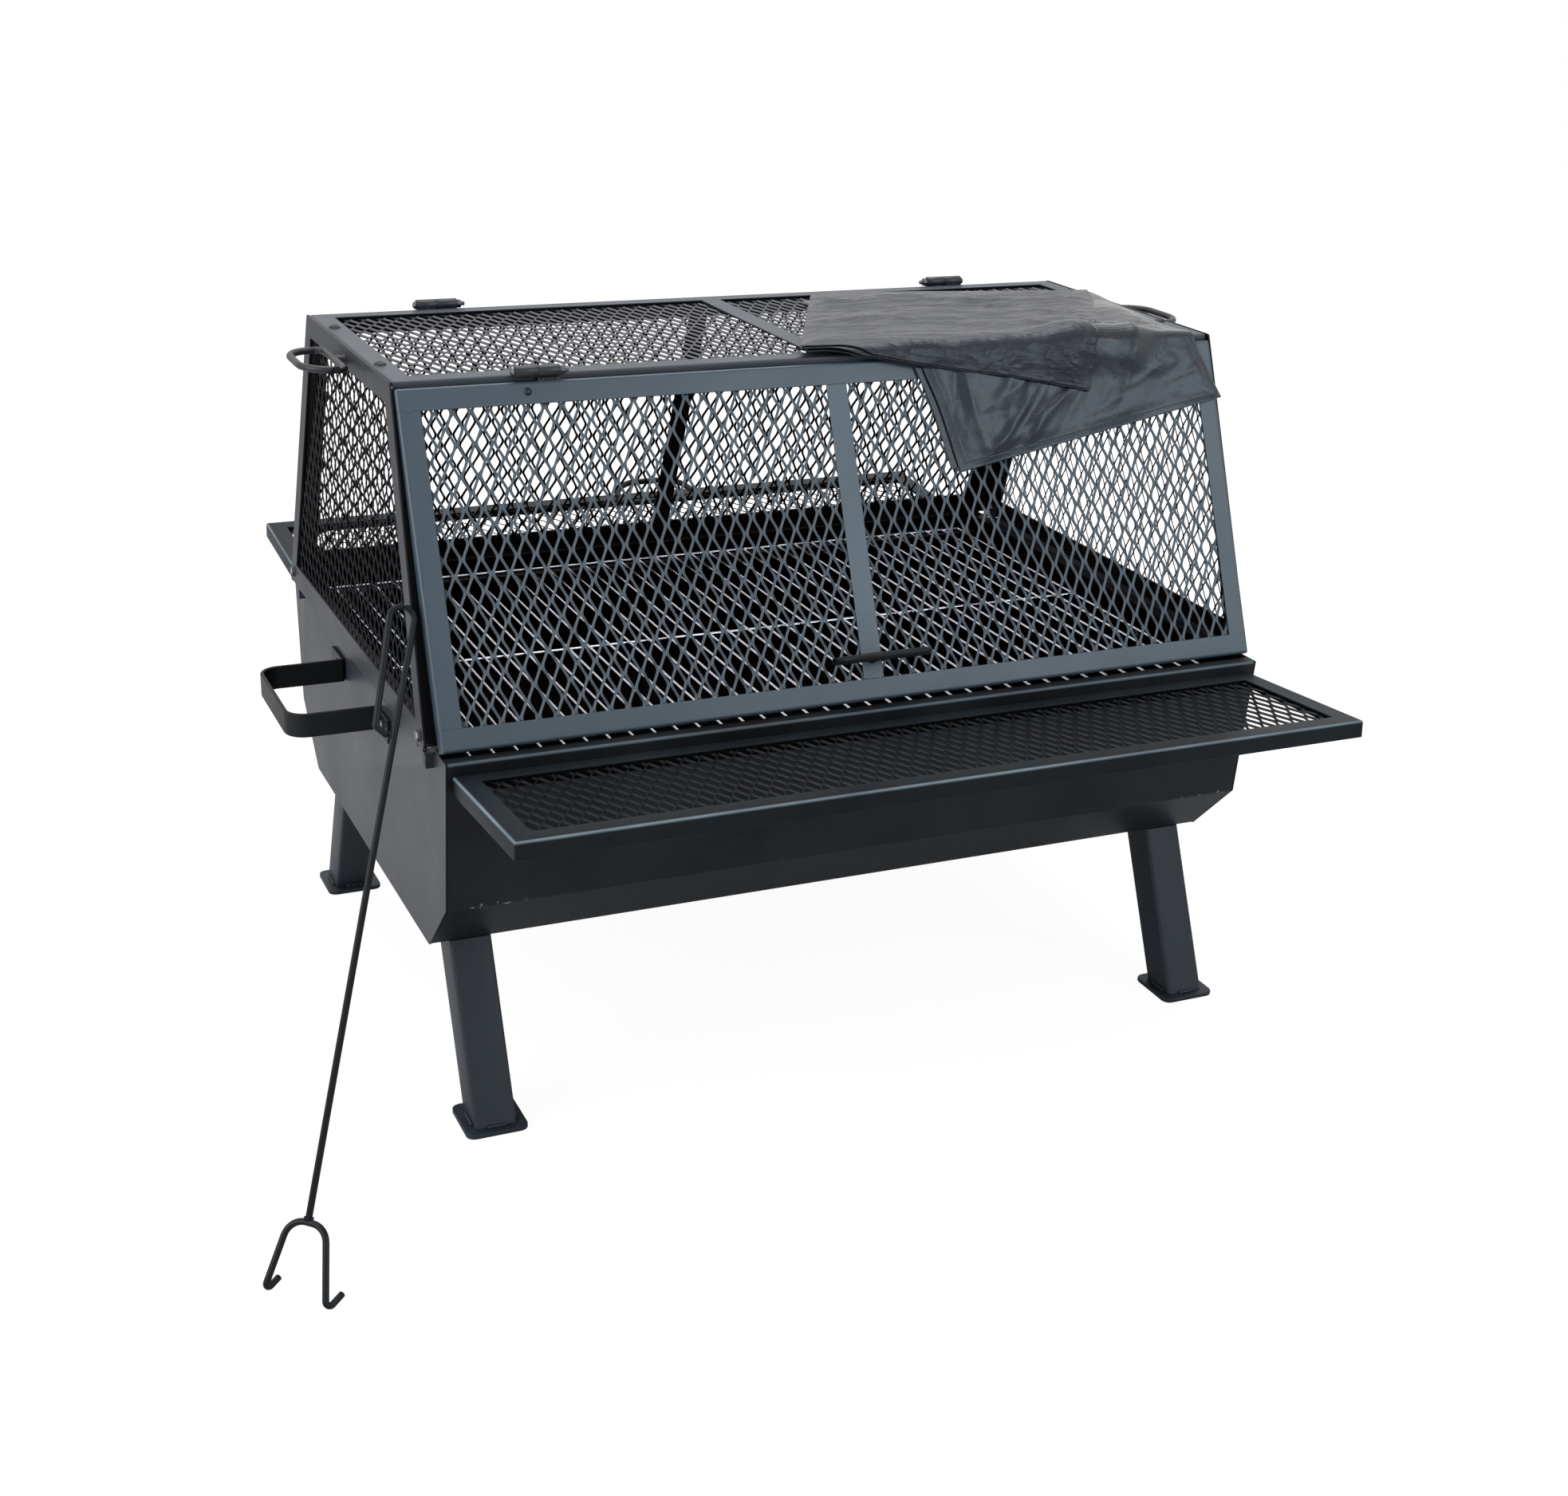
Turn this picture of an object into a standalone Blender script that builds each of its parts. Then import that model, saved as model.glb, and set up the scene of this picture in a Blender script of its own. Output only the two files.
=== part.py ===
"""Rectangular fire pit with a hinged mesh hood, two mesh shelves, a grate, a poker and a folded cover.

Metres, +Z up, standing on z = 0. X runs along the length and the front looks towards -Y.
The pit is modelled about its own middle, and the last step moves it so that the origin
lies under the middle of everything that stands on the ground.
"""

import math

import bmesh
import bpy
from mathutils import Matrix, Vector

# Clearances
SEAT = 0.0003
HOLE_PLAY = 0.0004
PIN_PLAY = 0.0001

# Fire bowl
TUB_LENGTH = 0.914
TUB_SHEET = 0.002
RIM_Z = 0.4075
RIM_Y = 0.3315
BEND_Z = 0.248
BEND_Y = 0.3165
FLOOR_Z = 0.181
FLOOR_Y = 0.249
RIM_FLANGE = 0.016
RIM_BEND = 0.003
WALL_BEND = 0.008

# Ledges that carry the cooking grate
LEDGE_DROP = 0.0215
LEDGE_IN = 0.0425
LEDGE_TOP = RIM_Z - LEDGE_DROP
LEDGE_INNER_Y = RIM_Y - LEDGE_IN
LEDGE_LEG = 0.015
LEDGE_END_GAP = 0.010

# Cooking grate
GRATE_WIRE = 0.004
GRATE_PITCH = 0.0239
GRATE_END_GAP = 0.0305
GRATE_ON_LEDGE = 0.0125
GRATE_WIRES = int((TUB_LENGTH - 2 * GRATE_END_GAP) / GRATE_PITCH) + 1
GRATE_CROSS_Y = LEDGE_INNER_Y + GRATE_ON_LEDGE
GRATE_OVERHANG = 0.0035
GRATE_WELD = 0.0003

# Legs and feet
LEG_FROM_END = 0.0435
LEG_FROM_BEND = 0.024
LEG_SPLAY = 0.0795
LEG_X = TUB_LENGTH / 2 - LEG_FROM_END
LEG_WIDTH = 0.044
LEG_DEPTH = 0.0475
LEG_WALL = 0.002
LEG_CORNER = 0.004
LEG_TOP_Y = FLOOR_Y - LEG_FROM_BEND
LEG_FOOT_Y = LEG_TOP_Y + LEG_SPLAY
FOOT_WIDTH = 0.065
FOOT_DEPTH = 0.067
FOOT_SHEET = 0.005
FOOT_CORNER = 0.009

# Flat-bar handles on the bowl's ends
HANDLE_BAR = 0.004
HANDLE_HEIGHT = 0.0255
HANDLE_DROP = 0.0429
HANDLE_Z = RIM_Z - HANDLE_DROP
HANDLE_HALF = 0.079
HANDLE_REACH = 0.0965
HANDLE_CORNER = 0.022
HANDLE_LUG = 0.045
HANDLE_LUG_Y = HANDLE_HALF + HANDLE_LUG
HANDLE_BOLT_Y = HANDLE_HALF + HANDLE_LUG / 2

# Shelves
SHELF_SHORT = 0.006
SHELF_DROP = 0.0125
SHELF_REACH = 0.1965
SHELF_RISE = 0.015
SHELF_HALF_LENGTH = TUB_LENGTH / 2 - SHELF_SHORT
SHELF_INNER_Z = RIM_Z - SHELF_DROP
SHELF_OUTER_Y = RIM_Y + SHELF_REACH
SHELF_OUTER_Z = SHELF_INNER_Z + SHELF_RISE
SHELF_LIP = 0.018

# Framed panels
FRAME_SHEET = 0.002
FRAME_BAR = 0.0224
FRAME_BEND = 0.003
STRAP_WIDTH = 0.0224

# Expanded metal, coarser than the sheet in the photograph
MESH_SHEET = 0.0015
MESH_SHORT_PITCH = 0.072
MESH_LONG_PITCH = 0.120
MESH_STRAND = 0.0055
MESH_BORDER = 0.006
MESH_LEAST_GAP = 0.012

# Hood top
TOP_Z = 0.738
TOP_HALF_DEPTH = 0.175
TOP_LIP = 0.008

# Hood ends
END_SHEET = 0.0025
END_PAST_BOWL = 0.011
END_LEAN = 0.008
END_PAST_TOP = 0.002
END_INSIDE_RIM = 0.034
END_ABOVE_RIM = 0.001
END_TOP_X = TUB_LENGTH / 2 + END_PAST_BOWL - END_LEAN
END_BOTTOM_X = TUB_LENGTH / 2 + END_PAST_BOWL
END_TOP_Y = TOP_HALF_DEPTH + END_PAST_TOP
END_BOTTOM_Y = RIM_Y - END_INSIDE_RIM
END_BOTTOM_Z = RIM_Z + END_ABOVE_RIM
END_TOP_FLANGE = 0.018
END_FLANGE_HALF = 0.110
END_CORNER = 0.007
END_BOLT_IN = 0.018
END_BOLT_Y = END_BOTTOM_Y - END_BOLT_IN
END_RING_DROP = 0.0135
END_RING_Z = TOP_Z - END_RING_DROP
END_RING_STUD = 0.0065

# Lugs on the bowl that hold the hood ends
LUG_WIDTH = 0.016
LUG_SHEET = 0.002
LUG_DROP = 0.0195
LUG_FOOT_Z = RIM_Z - LUG_DROP
LUG_FOOT_HEIGHT = 0.014

# Doors, measured on their outer face
DOOR_SIDE_GAP = 0.004
DOOR_INSIDE_RIM = 0.0135
DOOR_ABOVE_RIM = 0.0055
DOOR_PAST_HINGE = 0.002
DOOR_UNDER_TOP = 0.005
HINGE_OUT = 0.006
DOOR_HALF_WIDTH = END_TOP_X - DOOR_SIDE_GAP
DOOR_BOTTOM_Y = RIM_Y - DOOR_INSIDE_RIM
DOOR_BOTTOM_Z = RIM_Z + DOOR_ABOVE_RIM
DOOR_TOP_Y = TOP_HALF_DEPTH + HINGE_OUT + DOOR_PAST_HINGE
DOOR_TOP_Z = TOP_Z - DOOR_UNDER_TOP
DOOR_LIP = 0.015
DOOR_HANDLE_UP = 0.043
DOOR_HANDLE_STUD = 0.010

# D rings of round rod
RING_ROD = 0.0075
RING_WIDTH = 0.108
RING_DEPTH = 0.048
RING_STUD_ROD = 0.009
RING_INNER_CORNER = 0.009
RING_OUTER_CORNER = 0.032

# Hinges
HINGE_UP = 0.0035
HINGE_FROM_END = 0.1405
HINGE_Y = TOP_HALF_DEPTH + HINGE_OUT
HINGE_Z = TOP_Z + HINGE_UP
HINGE_X = DOOR_HALF_WIDTH - HINGE_FROM_END
HINGE_BARREL = 0.012
HINGE_BOLT = 0.005
KNUCKLE_LENGTH = 0.0225
HINGE_HEAD = 0.008
HINGE_HEAD_HEIGHT = 0.0035
HINGE_NUT = 0.009
HINGE_NUT_HEIGHT = 0.0045
HINGE_THREAD = 0.004

# Fasteners
BOLT_HEAD = 0.011
BOLT_HEAD_HEIGHT = 0.0035
BOLT_SHANK = 0.006
BOLT_NUT = 0.010
BOLT_NUT_HEIGHT = 0.004
BOLT_THREAD = 0.002

# Poker
POKER_ROD = 0.0064
POKER_LEFT_OUT = 0.2315
POKER_LEFT_FORWARD = 0.1881
POKER_RIGHT_OUT = 0.1848
POKER_RIGHT_FORWARD = 0.2337
POKER_LEAN_UP = 0.1285
POKER_LEFT_TIP = (-TUB_LENGTH / 2 - POKER_LEFT_OUT, -RIM_Y - POKER_LEFT_FORWARD)
POKER_RIGHT_TIP = (-TUB_LENGTH / 2 - POKER_RIGHT_OUT, -RIM_Y - POKER_RIGHT_FORWARD)
POKER_LEAN_Z = RIM_Z + POKER_LEAN_UP
POKER_DOOR_GAP = 0.001
POKER_FORK_TOP = 0.071
POKER_FORK_SHOULDER = 0.0185
POKER_HOOK = 0.022
POKER_HOOK_WAY = (0.8, 0.5, 0.33)
POKER_LOOP_START = 0.519
POKER_LOOP_WIDTH = 0.024
POKER_LOOP_FOOT = 0.0185

# Folded cover: x along the pit, s back over the top from the hood's front edge, or down the door where below 0
COVER_LAYER = 0.003
COVER_PAST_AXIS = 0.0078
COVER_RISE = 0.030
COVER_BEND = math.radians(80)
COVER_LOWER = [(0.093, -0.008), (0.124, -0.117), (0.458, -0.065), (0.461, 0.253), (0.105, 0.290)]
COVER_UPPER = [(-0.036, 0.007), (0.102, -0.018), (0.293, -0.054), (0.440, 0.230), (0.105, 0.290)]
COVER_CELL = 0.060

SLATE = ("slate_paint", (0.150, 0.170, 0.190), 0.55, 0.2)
GREY = ("grey_paint", (0.165, 0.163, 0.168), 0.55, 0.2)
DARK = ("dark_paint", (0.060, 0.062, 0.066), 0.55, 0.2)
CHROME = ("chrome_wire", (0.80, 0.80, 0.82), 0.2, 1.0)
ZINC = ("zinc_fastener", (0.55, 0.55, 0.56), 0.35, 1.0)
RAW_STEEL = ("steel_rod", (0.30, 0.30, 0.31), 0.4, 0.9)
CLOTH = ("cover_cloth", (0.012, 0.012, 0.014), 0.45, 0.0)

IDENTITY = Matrix.Identity(4)
HALF_TURN = Matrix.Diagonal((-1, -1, 1, 1))


def clear_scene():
    for obj in list(bpy.data.objects):
        bpy.data.objects.remove(obj, do_unlink=True)


def new_collection(name):
    collection = bpy.data.collections.new(name)
    bpy.context.scene.collection.children.link(collection)
    return collection


clear_scene()
PARTS = new_collection("fire_pit")
CUTTERS = new_collection("cutters")


def paint_of(finish):
    """One Principled material for each finish, shared by the pieces that have it."""
    name, colour, roughness, metallic = finish
    found = bpy.data.materials.get(name)
    if found:
        return found
    paint = bpy.data.materials.new(name)
    paint.use_nodes = True
    shader = paint.node_tree.nodes["Principled BSDF"]
    shader.inputs["Base Color"].default_value = (*colour, 1)
    shader.inputs["Roughness"].default_value = roughness
    shader.inputs["Metallic"].default_value = metallic
    return paint


def add_piece(name, data, finish, place=IDENTITY):
    """Links an object with this data at this place, as a piece of the pit."""
    obj = bpy.data.objects.new(name, data)
    obj.matrix_world = place
    PARTS.objects.link(obj)
    data.materials.append(paint_of(finish))
    return obj


def as_helper(obj):
    """Moves an object to the cutters, where it shapes other pieces and isn't one itself."""
    PARTS.objects.unlink(obj)
    CUTTERS.objects.link(obj)
    obj.hide_render = True
    obj.display_type = "WIRE"
    return obj


def mesh_from(work, name):
    bmesh.ops.recalc_face_normals(work, faces=work.faces)
    data = bpy.data.meshes.new(name)
    work.to_mesh(data)
    work.free()
    return data


def fixed_mesh(obj):
    """Turns a curve, or a mesh with modifiers, into a plain welded mesh of the same name and place."""
    graph = bpy.context.evaluated_depsgraph_get()
    data = bpy.data.meshes.new_from_object(obj.evaluated_get(graph))
    work = bmesh.new()
    work.from_mesh(data)
    bmesh.ops.remove_doubles(work, verts=work.verts, dist=0.00001)
    bmesh.ops.recalc_face_normals(work, faces=work.faces)
    work.to_mesh(data)
    work.free()
    name = obj.name
    place = obj.matrix_world.copy()
    bpy.data.objects.remove(obj, do_unlink=True)
    made = bpy.data.objects.new(name, data)
    made.matrix_world = place
    PARTS.objects.link(made)
    return made


def combine(obj, other, operation):
    """Adds or cuts away another mesh object, which becomes a hidden helper."""
    modifier = obj.modifiers.new(operation.lower(), "BOOLEAN")
    modifier.operation = operation
    modifier.solver = "EXACT"
    modifier.object = as_helper(other)
    return obj


def box(name, low, high, finish, place=IDENTITY):
    """A box between two corners."""
    low, high = Vector(low), Vector(high)
    work = bmesh.new()
    bmesh.ops.create_cube(work, size=1)
    bmesh.ops.scale(work, vec=high - low, verts=work.verts)
    bmesh.ops.translate(work, vec=(low + high) / 2, verts=work.verts)
    return add_piece(name, mesh_from(work, name), finish, place)


def turn_to(axis):
    """The rotation that lays +Z along an axis."""
    return Vector(axis).to_track_quat("Z", "Y").to_matrix().to_4x4()


def rod(work, start, end, diameter, sides):
    """Adds a straight round bar between two points to a bmesh."""
    start, end = Vector(start), Vector(end)
    place = Matrix.Translation((start + end) / 2) @ turn_to(end - start)
    bmesh.ops.create_cone(
        work,
        cap_ends=True,
        segments=sides,
        radius1=diameter / 2,
        radius2=diameter / 2,
        depth=(end - start).length,
        matrix=place,
    )


def round_bar(name, start, end, diameter, finish, sides=10, place=IDENTITY):
    work = bmesh.new()
    rod(work, start, end, diameter, sides)
    return add_piece(name, mesh_from(work, name), finish, place)


def drill(obj, start, end, diameter, place=IDENTITY):
    """Cuts a round hole from start to end."""
    cutter = round_bar(obj.name + "_hole", start, end, diameter, ZINC, 8, place)
    return combine(obj, cutter, "DIFFERENCE")


def rounded_path(points, radii, steps=3, closed=False):
    """The path through the points, with each corner replaced by an arc of its radius."""
    points = [Vector(point) for point in points]
    if closed:
        corners = zip(points[-1:] + points[:-1], points, points[1:] + points[:1], radii)
    else:
        corners = zip(points, points[1:], points[2:], radii)
    path = [] if closed else [points[0]]
    for before, corner, after, radius in corners:
        to_before = (before - corner).normalized()
        to_after = (after - corner).normalized()
        half = to_before.angle(to_after) / 2
        centre = corner + (to_before + to_after).normalized() * (radius / math.sin(half))
        start = corner + to_before * (radius / math.tan(half)) - centre
        end = corner + to_after * (radius / math.tan(half)) - centre
        sweep = math.pi - 2 * half
        for step in range(steps + 1):
            near = math.sin(sweep * (1 - step / steps)) / math.sin(sweep)
            far = math.sin(sweep * step / steps) / math.sin(sweep)
            path.append(centre + start * near + end * far)
    return path if closed else path + [points[-1]]


def wire(name, path, diameter, finish, closed=False, place=IDENTITY):
    """A bent round rod along a path, as a curve with a bevel."""
    curve = bpy.data.curves.new(name, "CURVE")
    curve.dimensions = "3D"
    curve.bevel_depth = diameter / 2
    curve.bevel_resolution = 1
    curve.use_fill_caps = True
    spline = curve.splines.new("POLY")
    spline.points.add(len(path) - 1)
    for point, position in zip(spline.points, path):
        point.co = (*position, 1)
    spline.use_cyclic_u = closed
    return add_piece(name, curve, finish, place)


def flat_plate(name, loops, thickness, finish, place):
    """A flat outline with any holes, as thick as the sheet, with its outer face on the local plane z = 0."""
    curve = bpy.data.curves.new(name, "CURVE")
    curve.dimensions = "2D"
    curve.fill_mode = "BOTH"
    curve.extrude = thickness / 2
    for loop in loops:
        spline = curve.splines.new("POLY")
        spline.points.add(len(loop) - 1)
        for point, position in zip(spline.points, loop):
            point.co = (position[0], position[1], 0, 1)
        spline.use_cyclic_u = True
    return add_piece(name, curve, finish, place @ Matrix.Translation((0, 0, -thickness / 2)))


def folded_sheet(name, path, along, thickness, finish, place=IDENTITY):
    """A bent sheet: the path drawn out along a vector, thickened to the path's left seen down that vector."""
    along = Vector(along)
    work = bmesh.new()
    near = [work.verts.new(point) for point in path]
    far = [work.verts.new(point + along) for point in path]
    for index in range(len(path) - 1):
        work.faces.new((near[index], near[index + 1], far[index + 1], far[index]))
    data = bpy.data.meshes.new(name)
    work.to_mesh(data)
    work.free()
    obj = add_piece(name, data, finish, place)
    return thicken(obj, thickness)


def thicken(obj, thickness, side=-1):
    """Gives an open surface its sheet thickness, on the side away from its normals by default."""
    modifier = obj.modifiers.new("sheet", "SOLIDIFY")
    modifier.thickness = thickness
    modifier.offset = side
    modifier.use_even_offset = True
    return obj


def inset(corners, distance):
    """The outline moved inwards by a distance on every side. The corners run anticlockwise."""
    corners = [Vector(corner) for corner in corners]
    found = []
    for before, corner, after in zip(corners[-1:] + corners[:-1], corners, corners[1:] + corners[:1]):
        first = (corner - before).normalized()
        second = (after - corner).normalized()
        inward = Vector((-first.y, first.x)) + Vector((-second.y, second.x))
        share = distance / (1 + first.dot(second))
        found.append(corner + inward * share)
    return found


def framed_sheet(name, corners, lips, lip_depth, finish, place):
    """A frame of sheet bars round an opening. Its outer face lies on the local plane z = 0.

    The listed sides have a lip bent inwards, towards local -z, and the bends are rounded.
    """
    outer = [Vector(corner) for corner in corners]
    inner = inset(corners, FRAME_BAR)
    work = bmesh.new()
    outside = [work.verts.new((point.x, point.y, 0)) for point in outer]
    inside = [work.verts.new((point.x, point.y, 0)) for point in inner]
    below = {}
    bends = []
    for side in range(4):
        after = (side + 1) % 4
        work.faces.new((outside[side], outside[after], inside[after], inside[side]))
        if side not in lips:
            continue
        for corner in (side, after):
            if corner not in below:
                below[corner] = work.verts.new((outer[corner].x, outer[corner].y, -lip_depth))
        work.faces.new((outside[after], outside[side], below[side], below[after]))
        bends.append(work.edges.get((outside[side], outside[after])))
    for corner in below:
        edge = work.edges.get((outside[corner], below[corner]))
        if len(edge.link_faces) == 2:
            bends.append(edge)
    bmesh.ops.bevel(work, geom=bends, offset=FRAME_BEND, segments=2, profile=0.5, affect="EDGES")
    data = bpy.data.meshes.new(name)
    work.to_mesh(data)
    work.free()
    return thicken(add_piece(name, data, finish, place), FRAME_SHEET)


def clipped(shape, outline):
    """The part of a shape that lies inside a convex anticlockwise outline."""
    for start, end in zip(outline, outline[1:] + outline[:1]):
        edge = end - start
        sides = [edge.cross(point - start) for point in shape]
        kept = []
        for index, point in enumerate(shape):
            side, before = sides[index], sides[index - 1]
            if side * before < 0:
                kept.append(shape[index - 1].lerp(point, before / (before - side)))
            if side >= 0:
                kept.append(point)
        shape = kept
        if len(shape) < 3:
            return []
    return shape


def area_of(shape):
    return sum(a.cross(b) for a, b in zip(shape, shape[1:] + shape[:1])) / 2


def diamond_gaps(outline):
    """The gaps of expanded metal inside an outline: staggered diamonds, long along local y, a strand apart."""
    half_short, half_long = MESH_SHORT_PITCH / 2, MESH_LONG_PITCH / 2
    to_edge = half_short * half_long / math.hypot(half_short, half_long)
    share = 1 - MESH_STRAND / 2 / to_edge
    reach_x = max(abs(point.x) for point in outline)
    reach_y = max(point.y for point in outline) - min(point.y for point in outline)
    middle = (max(point.y for point in outline) + min(point.y for point in outline)) / 2
    columns = math.ceil(reach_x / half_short)
    rows = math.ceil(reach_y / 2 / half_long)
    gaps = []
    for column in range(-columns, columns + 1):
        for row in range(-rows, rows + 1):
            if (column + row) % 2:
                continue
            centre = Vector((column * half_short, middle + row * half_long))
            wide, tall = Vector((half_short * share, 0)), Vector((0, half_long * share))
            diamond = [centre - tall, centre + wide, centre + tall, centre - wide]
            gap = clipped(diamond, outline)
            if gap and area_of(gap) > MESH_LEAST_GAP ** 2:
                gaps.append(gap)
    return gaps


def expanded_mesh(name, corners, finish, place):
    """An expanded metal sheet behind a frame, seated against the inner faces of its bars."""
    behind = FRAME_SHEET + SEAT
    margin = FRAME_BAR - MESH_BORDER
    sheet = inset(corners, margin)
    gaps = diamond_gaps(inset(corners, FRAME_BAR + MESH_STRAND / 4))
    return flat_plate(name, [sheet] + gaps, MESH_SHEET, finish, place @ Matrix.Translation((0, 0, -behind)))


def panel_place(origin, across, up):
    """A frame on a panel: x across it, y up it and z out of its outer face."""
    across, up = Vector(across).normalized(), Vector(up).normalized()
    out = across.cross(up)
    place = Matrix((across, up, out)).transposed().to_4x4()
    return Matrix.Translation(origin) @ place


def wall_y(z):
    """The bowl's outer half depth at a height on its upper wall."""
    return BEND_Y + (RIM_Y - BEND_Y) * (z - BEND_Z) / (RIM_Z - BEND_Z)


def build_tub():
    half = TUB_LENGTH / 2
    end_x = half - TUB_SHEET - SEAT
    corners = [
        (-end_x, -RIM_Y + RIM_FLANGE, RIM_Z),
        (-end_x, -RIM_Y, RIM_Z),
        (-end_x, -BEND_Y, BEND_Z),
        (-end_x, -FLOOR_Y, FLOOR_Z),
        (-end_x, FLOOR_Y, FLOOR_Z),
        (-end_x, BEND_Y, BEND_Z),
        (-end_x, RIM_Y, RIM_Z),
        (-end_x, RIM_Y - RIM_FLANGE, RIM_Z),
    ]
    radii = [RIM_BEND, WALL_BEND, WALL_BEND, WALL_BEND, WALL_BEND, RIM_BEND]
    path = rounded_path(corners, radii, steps=2)
    folded_sheet("tub_trough", path, (2 * end_x, 0, 0), TUB_SHEET, SLATE)
    for name, turn in (("left", IDENTITY), ("right", HALF_TURN)):
        build_tub_end(name, turn)
    for name, turn in (("front", IDENTITY), ("rear", HALF_TURN)):
        build_ledge(name, turn, end_x)


def build_tub_end(name, turn):
    """A bent end panel with a flange between the rims and two lugs that stand up outside it."""
    half = TUB_LENGTH / 2
    outline = [
        Vector(corner)
        for corner in (
            (RIM_Y, RIM_Z),
            (-RIM_Y, RIM_Z),
            (-BEND_Y, BEND_Z),
            (-FLOOR_Y, FLOOR_Z),
            (FLOOR_Y, FLOOR_Z),
            (BEND_Y, BEND_Z),
        )
    ]
    place = turn @ panel_place((-half, 0, 0), (0, -1, 0), (0, 0, 1))
    end = fixed_mesh(flat_plate("tub_end_" + name, [outline], TUB_SHEET, GREY, place))
    flange_y = LEDGE_INNER_Y
    flange = box(
        "rim_flange", (-half + TUB_SHEET / 2, -flange_y, RIM_Z - TUB_SHEET), (-half + RIM_FLANGE, flange_y, RIM_Z),
        GREY, turn,
    )
    combine(end, flange, "UNION")
    lug_x = -lug_inside() + LUG_SHEET
    lug_top = END_BOTTOM_Z + FRAME_BAR - MESH_BORDER - SEAT
    for side in (-1, 1):
        low_y, high_y = side * END_BOLT_Y - LUG_WIDTH / 2, side * END_BOLT_Y + LUG_WIDTH / 2
        foot = box(
            "lug_foot", (-lug_x + LUG_SHEET / 2, low_y, LUG_FOOT_Z),
            (-half + TUB_SHEET / 2, high_y, LUG_FOOT_Z + LUG_FOOT_HEIGHT), GREY, turn,
        )
        lug = box("lug", (-lug_x, low_y, LUG_FOOT_Z), (-lug_x + LUG_SHEET, high_y, lug_top), GREY, turn)
        combine(end, foot, "UNION")
        combine(end, lug, "UNION")
        drill(end, *end_bolt_line(side), BOLT_SHANK + HOLE_PLAY, turn)
        drill(end, *handle_bolt_line(side), BOLT_SHANK + HOLE_PLAY, turn)


def lug_inside():
    """The x of the left lugs' inner face. Their outer face seats on the hood's leaning bottom bar."""
    bar_inside = END_BOTTOM_X - END_SHEET - (END_BOTTOM_X - END_TOP_X) * FRAME_BAR / (TOP_Z - END_BOTTOM_Z)
    return -bar_inside + SEAT + LUG_SHEET


def end_bolt_line(side):
    """From outside to inside through the hood's bottom bar and the bowl's lug, on the left end."""
    z = END_BOTTOM_Z + FRAME_BAR / 2
    return (-END_BOTTOM_X - 0.010, side * END_BOLT_Y, z), (-TUB_LENGTH / 2 - 0.0003, side * END_BOLT_Y, z)


def handle_bolt_line(side):
    """From outside to inside through a side handle's lug and the end panel, on the left end."""
    half = TUB_LENGTH / 2
    return (-half - 0.020, side * HANDLE_BOLT_Y, HANDLE_Z), (-half + 0.010, side * HANDLE_BOLT_Y, HANDLE_Z)


def build_ledge(name, turn, end_x):
    """An angle along the wall whose flat top carries the ends of the grate."""
    half = end_x - LEDGE_END_GAP
    slope = (RIM_Y - BEND_Y) / (RIM_Z - BEND_Z)
    thick = TUB_SHEET * math.hypot(1, slope)
    against = wall_y(LEDGE_TOP) - thick - SEAT
    below = wall_y(LEDGE_TOP - LEDGE_LEG) - thick - SEAT
    corners = [
        (-half, -LEDGE_INNER_Y, LEDGE_TOP),
        (-half, -against, LEDGE_TOP),
        (-half, -below, LEDGE_TOP - LEDGE_LEG),
    ]
    path = rounded_path(corners, [FRAME_BEND], steps=2)
    folded_sheet("grate_ledge_" + name, path, (2 * half, 0, 0), FRAME_SHEET, DARK, turn)


def build_legs():
    for end_name, end in (("left", -1), ("right", 1)):
        for side_name, side in (("front", -1), ("rear", 1)):
            build_leg(side_name + "_" + end_name, end * LEG_X, side)


def rounded_box_loop(width, depth, corner):
    """A rectangle about the origin with rounded corners, anticlockwise."""
    half_x, half_y = width / 2, depth / 2
    corners = [(-half_x, -half_y, 0), (half_x, -half_y, 0), (half_x, half_y, 0), (-half_x, half_y, 0)]
    return rounded_path(corners, [corner] * 4, 3, closed=True)


def build_leg(name, x, side):
    """A splayed rectangular tube between the bowl's floor and its foot plate."""
    low, high = FOOT_SHEET + SEAT, FLOOR_Z - SEAT
    lean = (LEG_FOOT_Y - LEG_TOP_Y) / (FLOOR_Z - FOOT_SHEET)
    loops = [
        rounded_box_loop(LEG_WIDTH, LEG_DEPTH, LEG_CORNER),
        rounded_box_loop(LEG_WIDTH - 2 * LEG_WALL, LEG_DEPTH - 2 * LEG_WALL, LEG_CORNER - LEG_WALL),
    ]
    place = Matrix.Translation((x, 0, high))
    leg = fixed_mesh(flat_plate("leg_" + name, loops, high - low, SLATE, place))
    for vert in leg.data.vertices:
        drop = (high - low) / 2 - vert.co.z
        vert.co.y += side * (LEG_TOP_Y + lean * drop)
    place = Matrix.Translation((x, side * LEG_FOOT_Y, FOOT_SHEET))
    flat_plate("foot_plate_" + name, [rounded_box_loop(FOOT_WIDTH, FOOT_DEPTH, FOOT_CORNER)], FOOT_SHEET, SLATE, place)


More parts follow.
